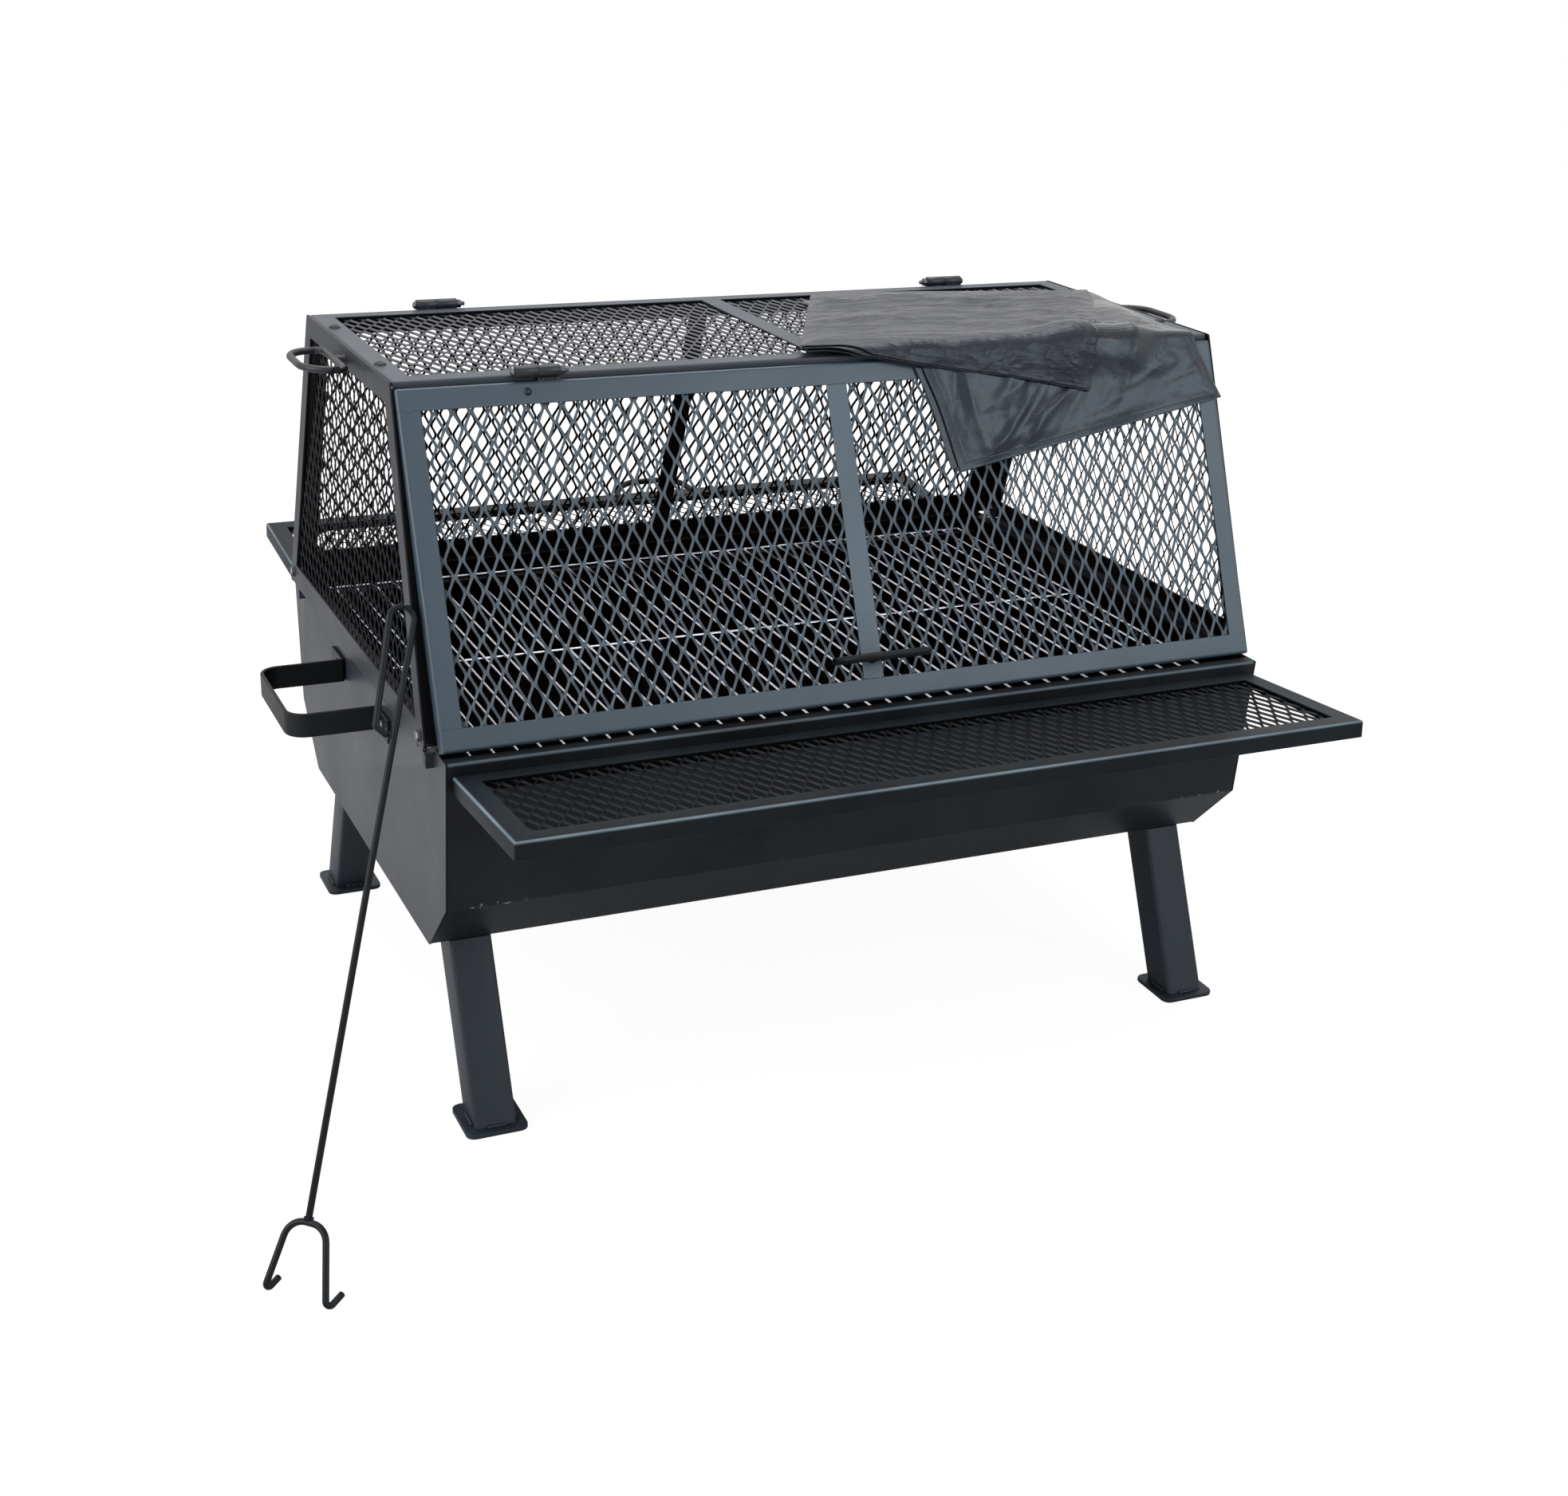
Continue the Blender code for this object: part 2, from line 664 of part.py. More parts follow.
def build_side_handles():
    """A flat bar bent to a U, with a lug turned out at each end and bolted to the bowl's end."""
    wall = -TUB_LENGTH / 2 - SEAT
    low = HANDLE_Z - HANDLE_HEIGHT / 2
    inner = HANDLE_HALF - HANDLE_BAR
    reach = -TUB_LENGTH / 2 - HANDLE_REACH + HANDLE_BAR
    corners = [
        (wall, -HANDLE_LUG_Y, low),
        (wall, -inner, low),
        (reach, -inner, low),
        (reach, inner, low),
        (wall, inner, low),
        (wall, HANDLE_LUG_Y, low),
    ]
    small, large = HANDLE_BAR * 1.25, HANDLE_CORNER - HANDLE_BAR
    path = rounded_path(corners, [small, large, large, small], steps=4)
    for name, turn in (("left", IDENTITY), ("right", HALF_TURN)):
        handle = folded_sheet("side_handle_" + name, path, (0, 0, HANDLE_HEIGHT), HANDLE_BAR, DARK, turn)
        for side in (-1, 1):
            drill(handle, *handle_bolt_line(side), BOLT_SHANK + HOLE_PLAY, turn)


def build_shelves():
    """A bent frame welded by its inner edge to the bowl, with expanded metal under its bars."""
    inner_y = wall_y(SHELF_INNER_Z) + SEAT
    up = (0, inner_y - SHELF_OUTER_Y, SHELF_INNER_Z - SHELF_OUTER_Z)
    depth = math.hypot(up[1], up[2])
    up = (0, -up[1], up[2])
    half = SHELF_HALF_LENGTH
    corners = [(-half, 0), (half, 0), (half, depth), (-half, depth)]
    for name, turn in (("front", IDENTITY), ("rear", HALF_TURN)):
        place = turn @ panel_place((0, -SHELF_OUTER_Y, SHELF_OUTER_Z), (1, 0, 0), up)
        framed_sheet("shelf_frame_" + name, corners, (0, 1, 2, 3), SHELF_LIP, SLATE, place)
        expanded_mesh("shelf_mesh_" + name, corners, SLATE, place)


def build_grate():
    """Long wires across the pit, welded on top of three cross wires that rest on the ledges."""
    flat = GRATE_WIRE / 2 * math.cos(math.pi / 6)
    cross_z = LEDGE_TOP + SEAT + flat
    long_z = cross_z + 2 * flat - GRATE_WELD
    reach_y = GRATE_CROSS_Y + GRATE_OVERHANG
    reach_x = GRATE_PITCH * (GRATE_WIRES - 1) / 2
    work = bmesh.new()
    for index in range(GRATE_WIRES):
        x = -reach_x + GRATE_PITCH * index
        hex_wire(work, (x, 0, long_z), 2 * reach_y, Matrix.Rotation(math.pi / 2, 4, "X"))
    grate = add_piece("cooking_grate", mesh_from(work, "cooking_grate"), CHROME)
    work = bmesh.new()
    lying = Matrix.Rotation(math.pi / 2, 4, "Y") @ Matrix.Rotation(math.pi / 6, 4, "Z")
    for y in (-GRATE_CROSS_Y, 0, GRATE_CROSS_Y):
        hex_wire(work, (0, y, cross_z), 2 * reach_x + 3 * GRATE_WIRE, lying)
    cross = add_piece("cross_wires", mesh_from(work, "cross_wires"), CHROME)
    combine(grate, cross, "UNION")


def hex_wire(work, centre, length, turn):
    """A six-sided wire whose flats look up and down."""
    bmesh.ops.create_cone(
        work, cap_ends=True, segments=6, radius1=GRATE_WIRE / 2, radius2=GRATE_WIRE / 2, depth=length,
        matrix=Matrix.Translation(centre) @ turn,
    )


def build_hood_top():
    """The top lies between the hood's end frames, on their flanges."""
    half = END_TOP_X - END_SHEET - SEAT
    corners = [(-half, -TOP_HALF_DEPTH), (half, -TOP_HALF_DEPTH), (half, TOP_HALF_DEPTH), (-half, TOP_HALF_DEPTH)]
    place = Matrix.Translation((0, 0, TOP_Z))
    framed_sheet("hood_top_frame", corners, (0, 2), TOP_LIP, SLATE, place)
    expanded_mesh("hood_top_mesh", corners, SLATE, place)
    strap = TOP_HALF_DEPTH - FRAME_BAR - SEAT
    flat_plate("hood_top_strap", [strap_outline(-strap, strap)], FRAME_SHEET, SLATE, place)


def strap_outline(low, high):
    half = STRAP_WIDTH / 2
    return [(-half, low), (half, low), (half, high), (-half, high)]


def end_place(turn):
    """The outer face of a hood end, from the middle of its bottom edge, for the left end before the turn."""
    up = (END_BOTTOM_X - END_TOP_X, 0, TOP_Z - END_BOTTOM_Z)
    return turn @ panel_place((-END_BOTTOM_X, 0, END_BOTTOM_Z), (0, -1, 0), up)


def end_corners():
    height = math.hypot(END_BOTTOM_X - END_TOP_X, TOP_Z - END_BOTTOM_Z)
    return [(-END_BOTTOM_Y, 0), (END_BOTTOM_Y, 0), (END_TOP_Y, height), (-END_TOP_Y, height)]


def build_hood_end(name, turn):
    """A flat frame with a narrow flange along each post and a wide one under the hood's top."""
    place = end_place(turn)
    corners = end_corners()
    outer = [Vector((*corner, 0)) for corner in corners]
    radii = [END_CORNER, END_CORNER, FRAME_BEND, FRAME_BEND]
    loops = [rounded_path(outer, radii, steps=2, closed=True), inset(corners, FRAME_BAR)]
    frame = fixed_mesh(flat_plate("hood_end_frame_" + name, loops, END_SHEET, GREY, place))
    height = corners[2][1]
    post = math.hypot(END_BOTTOM_Y - corners[2][0], height)
    past_door = DOOR_HALF_WIDTH + 0.001
    wide = END_BOTTOM_X - past_door
    narrow = END_TOP_X - past_door
    for side in (-1, 1):
        low, high = END_CORNER, post - TOP_LIP - FRAME_BEND
        flange = [(low, SEAT), (high, SEAT), (high, narrow), (low, wide - (wide - narrow) * low / post)]
        if side > 0:
            flange = [(along, -depth) for along, depth in flange]
        start = Vector((side * END_BOTTOM_Y, 0, 0))
        way = Vector((side * (corners[2][0] - END_BOTTOM_Y), height, 0))
        leg_place = place @ panel_place(start, way, (0, 0, side)) @ Matrix.Translation((0, 0, -SEAT))
        leg = fixed_mesh(flat_plate("post_flange", [flange], END_SHEET, GREY, leg_place))
        combine(frame, leg, "UNION")
    top = TOP_Z - FRAME_SHEET - 2 * SEAT
    flange_y = END_FLANGE_HALF
    under = box(
        "top_flange", (-END_TOP_X + END_SHEET / 4, -flange_y, top - END_SHEET),
        (-END_TOP_X + END_TOP_FLANGE, flange_y, top), GREY, turn,
    )
    combine(frame, under, "UNION")
    for side in (-1, 1):
        drill(frame, *end_bolt_line(side), BOLT_SHANK + HOLE_PLAY, turn)
    expanded_end = inset(corners, 0)
    mesh_place = place @ Matrix.Translation((0, 0, FRAME_SHEET - END_SHEET))
    expanded_mesh("hood_end_mesh_" + name, expanded_end, GREY, mesh_place)
    ring_up = (END_RING_Z - END_BOTTOM_Z) * height / (TOP_Z - END_BOTTOM_Z)
    ring_place = place @ Matrix.Translation((0, ring_up, 0))
    d_ring("end_ring_" + name, END_RING_STUD, GREY, ring_place)


def d_ring(name, stud, finish, place):
    """A D of round rod that stands out of a face on a short stud, in the plane across the face."""
    near = SEAT + stud + RING_ROD / 2
    far = near + RING_DEPTH - RING_ROD
    half = (RING_WIDTH - RING_ROD) / 2
    corners = [(-half, 0, near), (half, 0, near), (half, 0, far), (-half, 0, far)]
    radii = [RING_INNER_CORNER, RING_INNER_CORNER, RING_OUTER_CORNER, RING_OUTER_CORNER]
    ring = fixed_mesh(wire(name, rounded_path(corners, radii, 4, True), RING_ROD, finish, True, place))
    peg = round_bar("ring_stud", (0, 0, SEAT), (0, 0, near), RING_STUD_ROD, finish, 10, place)
    combine(ring, peg, "UNION")
    return ring


def door_place(turn):
    """The outer face of the front door, from the middle of its bottom edge, before the turn."""
    up = (0, DOOR_BOTTOM_Y - DOOR_TOP_Y, DOOR_TOP_Z - DOOR_BOTTOM_Z)
    return turn @ panel_place((0, -DOOR_BOTTOM_Y, DOOR_BOTTOM_Z), (1, 0, 0), up)


def build_door(name, turn):
    place = door_place(turn)
    height = math.hypot(DOOR_BOTTOM_Y - DOOR_TOP_Y, DOOR_TOP_Z - DOOR_BOTTOM_Z)
    half = DOOR_HALF_WIDTH
    corners = [(-half, 0), (half, 0), (half, height), (-half, height)]
    strap = strap_outline(FRAME_BAR + SEAT, height - FRAME_BAR - SEAT)
    handle_place = place @ Matrix.Translation((0, DOOR_HANDLE_UP, 0))
    pieces = [
        framed_sheet(name + "_door_frame", corners, (0, 1, 3), DOOR_LIP, SLATE, place),
        expanded_mesh(name + "_door_mesh", corners, SLATE, place),
        flat_plate(name + "_door_strap", [strap], FRAME_SHEET, SLATE, place),
        d_ring(name + "_door_handle", DOOR_HANDLE_STUD, SLATE, handle_place),
    ]
    for end_name, end in (("left", -1), ("right", 1)):
        pieces.append(build_hinge(name + "_" + end_name, end, place, turn, height))
    hang(name + "_door_axis", pieces, turn @ Vector((0, -HINGE_Y, HINGE_Z)))


def build_hinge(name, end, place, turn, height):
    """Two knuckles on a bolt. The outer one is welded to the hood's top and the inner one to the door."""
    centre = end if turn == IDENTITY else -end
    outer_x = centre * (HINGE_X + (KNUCKLE_LENGTH + SEAT) / 2)
    inner_x = centre * (HINGE_X - (KNUCKLE_LENGTH + SEAT) / 2)
    half = KNUCKLE_LENGTH / 2
    fixed = round_bar(
        "hinge_top_knuckle_" + name, (outer_x - half, -HINGE_Y, HINGE_Z), (outer_x + half, -HINGE_Y, HINGE_Z),
        HINGE_BARREL, SLATE, 12, turn,
    )
    weld = box(
        "knuckle_weld", (outer_x - half, -HINGE_Y + HINGE_BOLT / 2, TOP_Z - TOP_LIP),
        (outer_x + half, -TOP_HALF_DEPTH - SEAT, HINGE_Z - 0.001), SLATE, turn,
    )
    combine(fixed, weld, "UNION")
    moving = round_bar(
        "hinge_door_knuckle_" + name, (inner_x - half, -HINGE_Y, HINGE_Z), (inner_x + half, -HINGE_Y, HINGE_Z),
        HINGE_BARREL, SLATE, 12, turn,
    )
    leaf = box(
        "knuckle_leaf", (inner_x - half, height + SEAT, -FRAME_SHEET), (inner_x + half, height + 0.0045, 0),
        SLATE, place,
    )
    combine(moving, leaf, "UNION")
    outer_end = centre * (HINGE_X + KNUCKLE_LENGTH + 2 * SEAT)
    inner_end = centre * (HINGE_X - KNUCKLE_LENGTH - 2 * SEAT)
    for knuckle in (fixed, moving):
        line = (outer_end * 1.1, -HINGE_Y, HINGE_Z), (inner_end * 0.9, -HINGE_Y, HINGE_Z)
        cutter = round_bar(knuckle.name + "_bore", *line, HINGE_BOLT + 2 * PIN_PLAY, ZINC, 12, turn)
        combine(knuckle, cutter, "DIFFERENCE")
    head_end = outer_end + centre * HINGE_HEAD_HEIGHT
    thread_end = inner_end - centre * (HINGE_NUT_HEIGHT + HINGE_THREAD)
    bolt = round_bar(
        "hinge_bolt_" + name, (head_end, -HINGE_Y, HINGE_Z), (outer_end, -HINGE_Y, HINGE_Z), HINGE_HEAD, ZINC, 6, turn,
    )
    overlap = centre * HINGE_HEAD_HEIGHT / 2
    shank = round_bar(
        "shank", (outer_end + overlap, -HINGE_Y, HINGE_Z), (thread_end, -HINGE_Y, HINGE_Z), HINGE_BOLT, ZINC, 12, turn,
    )
    combine(bolt, shank, "UNION")
    nut_line = (inner_end, -HINGE_Y, HINGE_Z), (inner_end - centre * HINGE_NUT_HEIGHT, -HINGE_Y, HINGE_Z)
    combine(bolt, round_bar("nut", *nut_line, HINGE_NUT, ZINC, 6, turn), "UNION")
    return moving


def hang(name, pieces, point):
    """Parents moving pieces to an empty on their joint's axis."""
    axis = bpy.data.objects.new(name, None)
    axis.location = point
    PARTS.objects.link(axis)
    for piece in pieces:
        helpers = [modifier.object for modifier in piece.modifiers if modifier.type == "BOOLEAN"]
        for obj in [piece] + helpers:
            obj.parent = axis
            obj.matrix_parent_inverse = Matrix.Translation(-Vector(point))


def through_bolt(name, line, nut_at, turn):
    """A bolt with its nut on, as one piece. The line runs from under the head to the end of the thread."""
    start, end = Vector(line[0]), Vector(line[1])
    way = (end - start).normalized()
    head = (start - way * BOLT_HEAD_HEIGHT, start)
    nut = (start + way * nut_at, start + way * (nut_at + BOLT_NUT_HEIGHT))
    bolt = round_bar(name, *head, BOLT_HEAD, ZINC, 6, turn)
    combine(bolt, round_bar("shank", start - way * BOLT_HEAD_HEIGHT / 2, end, BOLT_SHANK, ZINC, 8, turn), "UNION")
    combine(bolt, round_bar("nut", *nut, BOLT_NUT, ZINC, 6, turn), "UNION")


def build_bolts():
    """The bolts of the hood ends and of the side handles."""
    half = TUB_LENGTH / 2
    for end_name, turn in (("left", IDENTITY), ("right", HALF_TURN)):
        for side in (-1, 1):
            front = (side < 0) == (turn == IDENTITY)
            name = ("front_" if front else "rear_") + end_name
            y, z = side * END_BOLT_Y, END_BOTTOM_Z + FRAME_BAR / 2
            face = -END_BOTTOM_X - SEAT
            nut_at = lug_inside() + SEAT - face
            tip = nut_at + BOLT_NUT_HEIGHT + BOLT_THREAD / 2
            through_bolt("hood_bolt_" + name, ((face, y, z), (face + tip, y, z)), nut_at, turn)
            y, z = side * HANDLE_BOLT_Y, HANDLE_Z
            face = -half - SEAT - HANDLE_BAR - SEAT
            nut_at = -half + TUB_SHEET + SEAT - face
            tip = nut_at + BOLT_NUT_HEIGHT + BOLT_THREAD
            through_bolt("handle_bolt_" + name, ((face, y, z), (face + tip, y, z)), nut_at, turn)


def poker_fork(tip_z, leaning):
    """The fork's path, the middle between its prongs and the rod's direction, for prongs at a height."""
    left, right = Vector((*POKER_LEFT_TIP, tip_z)), Vector((*POKER_RIGHT_TIP, tip_z))
    middle = (left + right) / 2
    up = (leaning - middle).normalized()
    hook = Vector(POKER_HOOK_WAY).normalized() * POKER_HOOK
    shoulder = (right - left).normalized() * POKER_FORK_SHOULDER
    arch = middle + up * POKER_FORK_TOP
    corners = [left + hook, left, arch - shoulder, arch + shoulder, right, right + hook]
    return rounded_path(corners, [0.004, 0.018, 0.018, 0.004], steps=3), middle, up


def build_poker():
    """One rod bent to a hanging loop at its top, with a two-pronged fork welded to its foot.

    It stands on its prongs and leans with the side of its loop on the front flange of the hood's left post.
    """
    foot = Vector((-END_BOTTOM_X, -END_BOTTOM_Y, END_BOTTOM_Z))
    share = (POKER_LEAN_Z - END_BOTTOM_Z) / (TOP_Z - END_BOTTOM_Z)
    post = foot.lerp(Vector((-END_TOP_X, -END_TOP_Y, TOP_Z)), share)
    inward = Vector((1, 0, 0))
    front = inward.cross(post - foot).normalized()
    width = -DOOR_HALF_WIDTH - POKER_DOOR_GAP - POKER_ROD / 2 - post.x
    leaning = post + inward * width + front * (POKER_ROD / 2 + SEAT)
    standing = POKER_ROD / 2 + SEAT
    lowest = min(point.z for point in poker_fork(standing, leaning)[0])
    fork_path, middle, up = poker_fork(2 * standing - lowest, leaning)
    across = (inward - up * up.dot(inward)).normalized()
    wide = POKER_LOOP_WIDTH
    rod_corners = [
        middle + up * POKER_FORK_TOP,
        leaning,
        leaning - across * wide,
        middle + up * (POKER_LOOP_START + 0.006) - across * POKER_LOOP_FOOT,
        middle + up * POKER_LOOP_START - across * (POKER_ROD + 2 * SEAT),
    ]
    rod_path = rounded_path(rod_corners, [wide * 0.49, wide * 0.49, 0.005], steps=4)
    poker = fixed_mesh(wire("poker", fork_path, POKER_ROD, RAW_STEEL))
    shaft = fixed_mesh(wire("poker_shaft", rod_path, POKER_ROD, RAW_STEEL))
    combine(poker, shaft, "UNION")


def cover_profile(raised):
    """Pairs of s and (y, z) along the cover: level on the hood's top, over the hinge line, down the door."""
    up = Vector((DOOR_BOTTOM_Y - DOOR_TOP_Y, DOOR_TOP_Z - DOOR_BOTTOM_Z)).normalized()
    out = Vector((-up.y, up.x))
    facing = math.atan2(out.y, out.x)
    flat_z = TOP_Z + SEAT + raised
    rear = Vector((TOP_HALF_DEPTH, flat_z))
    flat = Vector((-TOP_HALF_DEPTH + COVER_RISE, flat_z))
    bend = [facing - COVER_BEND * (1 - step / 3) for step in range(4)]
    radius = (COVER_PAST_AXIS + raised) / math.cos(COVER_BEND / 6)
    over = [Vector((-HINGE_Y, HINGE_Z)) + Vector((math.cos(angle), math.sin(angle))) * radius for angle in bend]
    knee = over[-1] - up * COVER_PAST_AXIS
    hem = knee - up * COVER_RISE * 6
    profile = [(0.0, over[0])]
    for before in (flat, rear):
        profile.insert(0, (profile[0][0] + (profile[0][1] - before).length, before))
    for after in over[1:] + [knee, hem]:
        profile.append((profile[-1][0] - (profile[-1][1] - after).length, after))
    return profile


def draped(name, outline, raised, lift):
    """A flat outline cut from a grid and laid over the hood, then thickened upwards."""
    profile = cover_profile(raised)
    outline = [Vector(corner) for corner in outline]
    centre = sum(outline, Vector((0, 0))) / len(outline)
    reach = COVER_CELL * 10
    work = bmesh.new()
    bmesh.ops.create_grid(work, x_segments=20, y_segments=20, size=reach)
    bmesh.ops.translate(work, vec=(centre.x, centre.y, 0), verts=work.verts)
    cuts = [(start, Vector(((end - start).y, (start - end).x)), True) for start, end in zip(outline, outline[1:] + outline[:1])]
    cuts += [(Vector((0, s)), Vector((0, 1)), False) for s, _ in profile]
    for point, away, clear in cuts:
        bmesh.ops.bisect_plane(
            work, geom=work.verts[:] + work.edges[:] + work.faces[:], plane_co=(*point, 0),
            plane_no=(*away, 0), clear_outer=clear, dist=0.0004,
        )
    for vert in work.verts:
        for (top, start), (bottom, end) in zip(profile, profile[1:]):
            if vert.co.y >= bottom - 0.0001:
                break
        y, z = start.lerp(end, (top - vert.co.y) / (top - bottom))
        vert.co = (vert.co.x, y, z)
    data = bpy.data.meshes.new(name)
    work.to_mesh(data)
    work.free()
    return thicken(add_piece(name, data, CLOTH), lift, 1)


def build_cover():
    """The cover folded over the hood's top and front door: a wide lower fold under a second one."""
    lower = draped("cover", COVER_LOWER, 0, COVER_LAYER)
    upper = draped("cover_fold", COVER_UPPER, 2 * COVER_LAYER / 3, COVER_LAYER)
    combine(lower, upper, "UNION")


def centre_on_ground():
    """Moves everything so that the origin lies under the middle of the whole set."""
    bpy.context.view_layer.update()
    graph = bpy.context.evaluated_depsgraph_get()
    reach = []
    for obj in PARTS.objects:
        if obj.type == "EMPTY":
            continue
        evaluated = obj.evaluated_get(graph)
        reach += [evaluated.matrix_world @ vert.co for vert in evaluated.to_mesh().vertices]
        evaluated.to_mesh_clear()
    middle_x = (min(point.x for point in reach) + max(point.x for point in reach)) / 2
    middle_y = (min(point.y for point in reach) + max(point.y for point in reach)) / 2
    shift = Matrix.Translation((-middle_x, -middle_y, 0))
    for obj in bpy.data.objects:
        if obj.parent is None:
            obj.matrix_world = shift @ obj.matrix_world


def smooth_round_pieces():
    for obj in PARTS.objects:
        if obj.type == "MESH":
            obj.data.shade_smooth()
            obj.data.set_sharp_from_angle(angle=math.radians(35))


def main():
    build_tub()
    build_legs()
    build_side_handles()
    build_shelves()
    build_grate()
    build_hood_top()
    for name, turn in (("left", IDENTITY), ("right", HALF_TURN)):
        build_hood_end(name, turn)
    for name, turn in (("front", IDENTITY), ("rear", HALF_TURN)):
        build_door(name, turn)
    build_bolts()
    build_poker()
    build_cover()
    smooth_round_pieces()
    centre_on_ground()


main()
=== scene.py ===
"""A fire pit with a hinged mesh hood, dressed for its photograph.

Metres, +Z up, standing on z = 0. The pit's own middle is at PIT, X runs along its length
and the front looks towards -Y. Sizes are those of the part's own source.
"""

import math

import bmesh
import bpy
import numpy as np
from mathutils import Matrix, Vector


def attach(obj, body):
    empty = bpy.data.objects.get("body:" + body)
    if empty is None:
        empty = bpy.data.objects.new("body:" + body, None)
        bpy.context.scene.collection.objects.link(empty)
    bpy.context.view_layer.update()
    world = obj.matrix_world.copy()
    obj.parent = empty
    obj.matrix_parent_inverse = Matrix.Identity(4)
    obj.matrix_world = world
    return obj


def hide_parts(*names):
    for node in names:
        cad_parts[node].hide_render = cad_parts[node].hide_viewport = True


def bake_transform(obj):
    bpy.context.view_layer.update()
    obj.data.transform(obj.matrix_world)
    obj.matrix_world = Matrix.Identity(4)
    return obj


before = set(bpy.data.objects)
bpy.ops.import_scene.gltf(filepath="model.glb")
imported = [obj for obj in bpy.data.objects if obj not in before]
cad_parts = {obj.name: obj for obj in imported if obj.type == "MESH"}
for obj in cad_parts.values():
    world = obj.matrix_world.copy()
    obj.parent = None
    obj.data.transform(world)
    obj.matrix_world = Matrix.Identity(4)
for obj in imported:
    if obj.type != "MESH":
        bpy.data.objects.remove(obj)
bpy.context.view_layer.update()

PIT = np.array([0.066531, 0.017555, 0.0])
HALF_TURN = np.diag([-1.0, -1.0, 1.0])
TURNS = (("front", "left", np.eye(3)), ("rear", "right", HALF_TURN))
ENDS = (("left", -1), ("right", 1))
X, Y, Z = (1, 0, 0), (0, 1, 0), (0, 0, 1)
SEAT = 0.0003
EASE = 0.0003

TUB_HALF = 0.457
TUB_SHEET = 0.002
RIM = (0.3315, 0.4075)
BEND = (0.3165, 0.248)
FLOOR = (0.249, 0.181)
RIM_FLANGE = 0.016
LEG_FOOT = (0.4135, 0.3045)
LEG_HALF = (0.022, 0.02375)
HANDLE_Z = 0.3646
HANDLE_REACH = 0.0965
HANDLE_BOLT_Y = 0.1015
LEDGE_Z = 0.386

FRAME_SHEET = 0.002
FRAME_BAR = 0.0224
TOP_Z = 0.738
TOP_HALF = (0.4572, 0.175)
DOOR_HALF = 0.456
DOOR_FOOT = (0.318, 0.413)
DOOR_TOP = (0.183, 0.733)
DOOR_LIP = 0.015
END_FOOT = (0.468, 0.2975, 0.4085)
END_TOP = (0.460, 0.177, 0.738)
SHELF_HALF = 0.451
SHELF_OUTER = (0.528, 0.410)
SHELF_INNER_Z = 0.395
SHELF_LIP = 0.018
HINGE = (0.3155, 0.181, 0.7415)
HOOD_BOLT_Y = 0.2795
HOOD_SCREW = (0.448, 0.0965)
RING_Z = 0.7245
KNUCKLE = 0.0225
DOOR_RUN, DOOR_RISE = DOOR_FOOT[0] - DOOR_TOP[0], DOOR_TOP[1] - DOOR_FOOT[1]
DOOR_HEIGHT = math.hypot(DOOR_RUN, DOOR_RISE)
END_RUN, END_RISE = END_FOOT[0] - END_TOP[0], END_TOP[2] - END_FOOT[2]
END_HEIGHT = math.hypot(END_RUN, END_RISE)

MESH_SHORT = 0.0183
MESH_LONG = 0.0312
MESH_STRAND = 0.0029
MESH_SHEET = 0.0010
MESH_TILT = math.radians(24)
MESH_STEPS = 14
MESH_LAP = 0.007
MESH_DROP = FRAME_SHEET + SEAT + MESH_STRAND * math.sin(MESH_TILT) + MESH_SHEET / 2

ROD = 0.0064
POKER_LEAN_Z = 0.536
POKER_TIPS = ((-0.6885, -0.5196), (-0.6418, -0.5652))
WIRE, WIRE_DRAWN, WIRE_PITCH, WIRES = 0.004, 0.0034, 0.0239, 36
CROSS_WIRES = (-0.3015, 0, 0.3015)
HEM, SEAM_IN = 0.0092, 0.0080


# Places


class Place:
    """A local frame: a local point (x, y, z) goes to origin + x across + y up + z out."""

    def __init__(self, origin, across, up, turn=np.eye(3)):
        across, up = unit(np.array(across, float)), unit(np.array(up, float))
        self.axes = turn @ np.column_stack((across, up, np.cross(across, up)))
        self.origin = turn @ np.array(origin, float) + PIT

    def put(self, points):
        return np.asarray(points, float) @ self.axes.T + self.origin

    def at(self, point):
        """The same frame with its origin at one of its points."""
        return Place(self.put(point) - PIT, self.axes[:, 0], self.axes[:, 1])


def unit(vectors):
    return vectors / np.maximum(np.linalg.norm(vectors, axis=-1, keepdims=True), 1e-12)


def flat_place(turn=np.eye(3)):
    return Place((0, 0, 0), X, Y, turn)


def door_place(turn):
    return Place((0, -DOOR_FOOT[0], DOOR_FOOT[1]), X, (0, DOOR_RUN, DOOR_RISE), turn)


def end_place(turn):
    return Place((-END_FOOT[0], 0, END_FOOT[2]), (0, -1, 0), (END_RUN, 0, END_RISE), turn)


# Meshes


def new_object(name, data):
    made = bpy.data.objects.new(name, data)
    bpy.context.scene.collection.objects.link(made)
    return made


def marked(data, **shares):
    """Stores a number per point under each name."""
    for key, values in shares.items():
        if values is not None:
            layer = data.attributes.new(key, "FLOAT", "POINT")
            layer.data.foreach_set("value", np.asarray(values, np.float32).ravel())


def sharp_past(data, degrees):
    """Smooth shading that stops at edges with a larger angle."""
    data.shade_smooth()
    data.set_sharp_from_angle(angle=math.radians(degrees))


def rides(made, body, node):
    """Ties a piece to its body, where it may stand for a CAD node."""
    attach(made, body)
    if node:
        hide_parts(node)
    return made


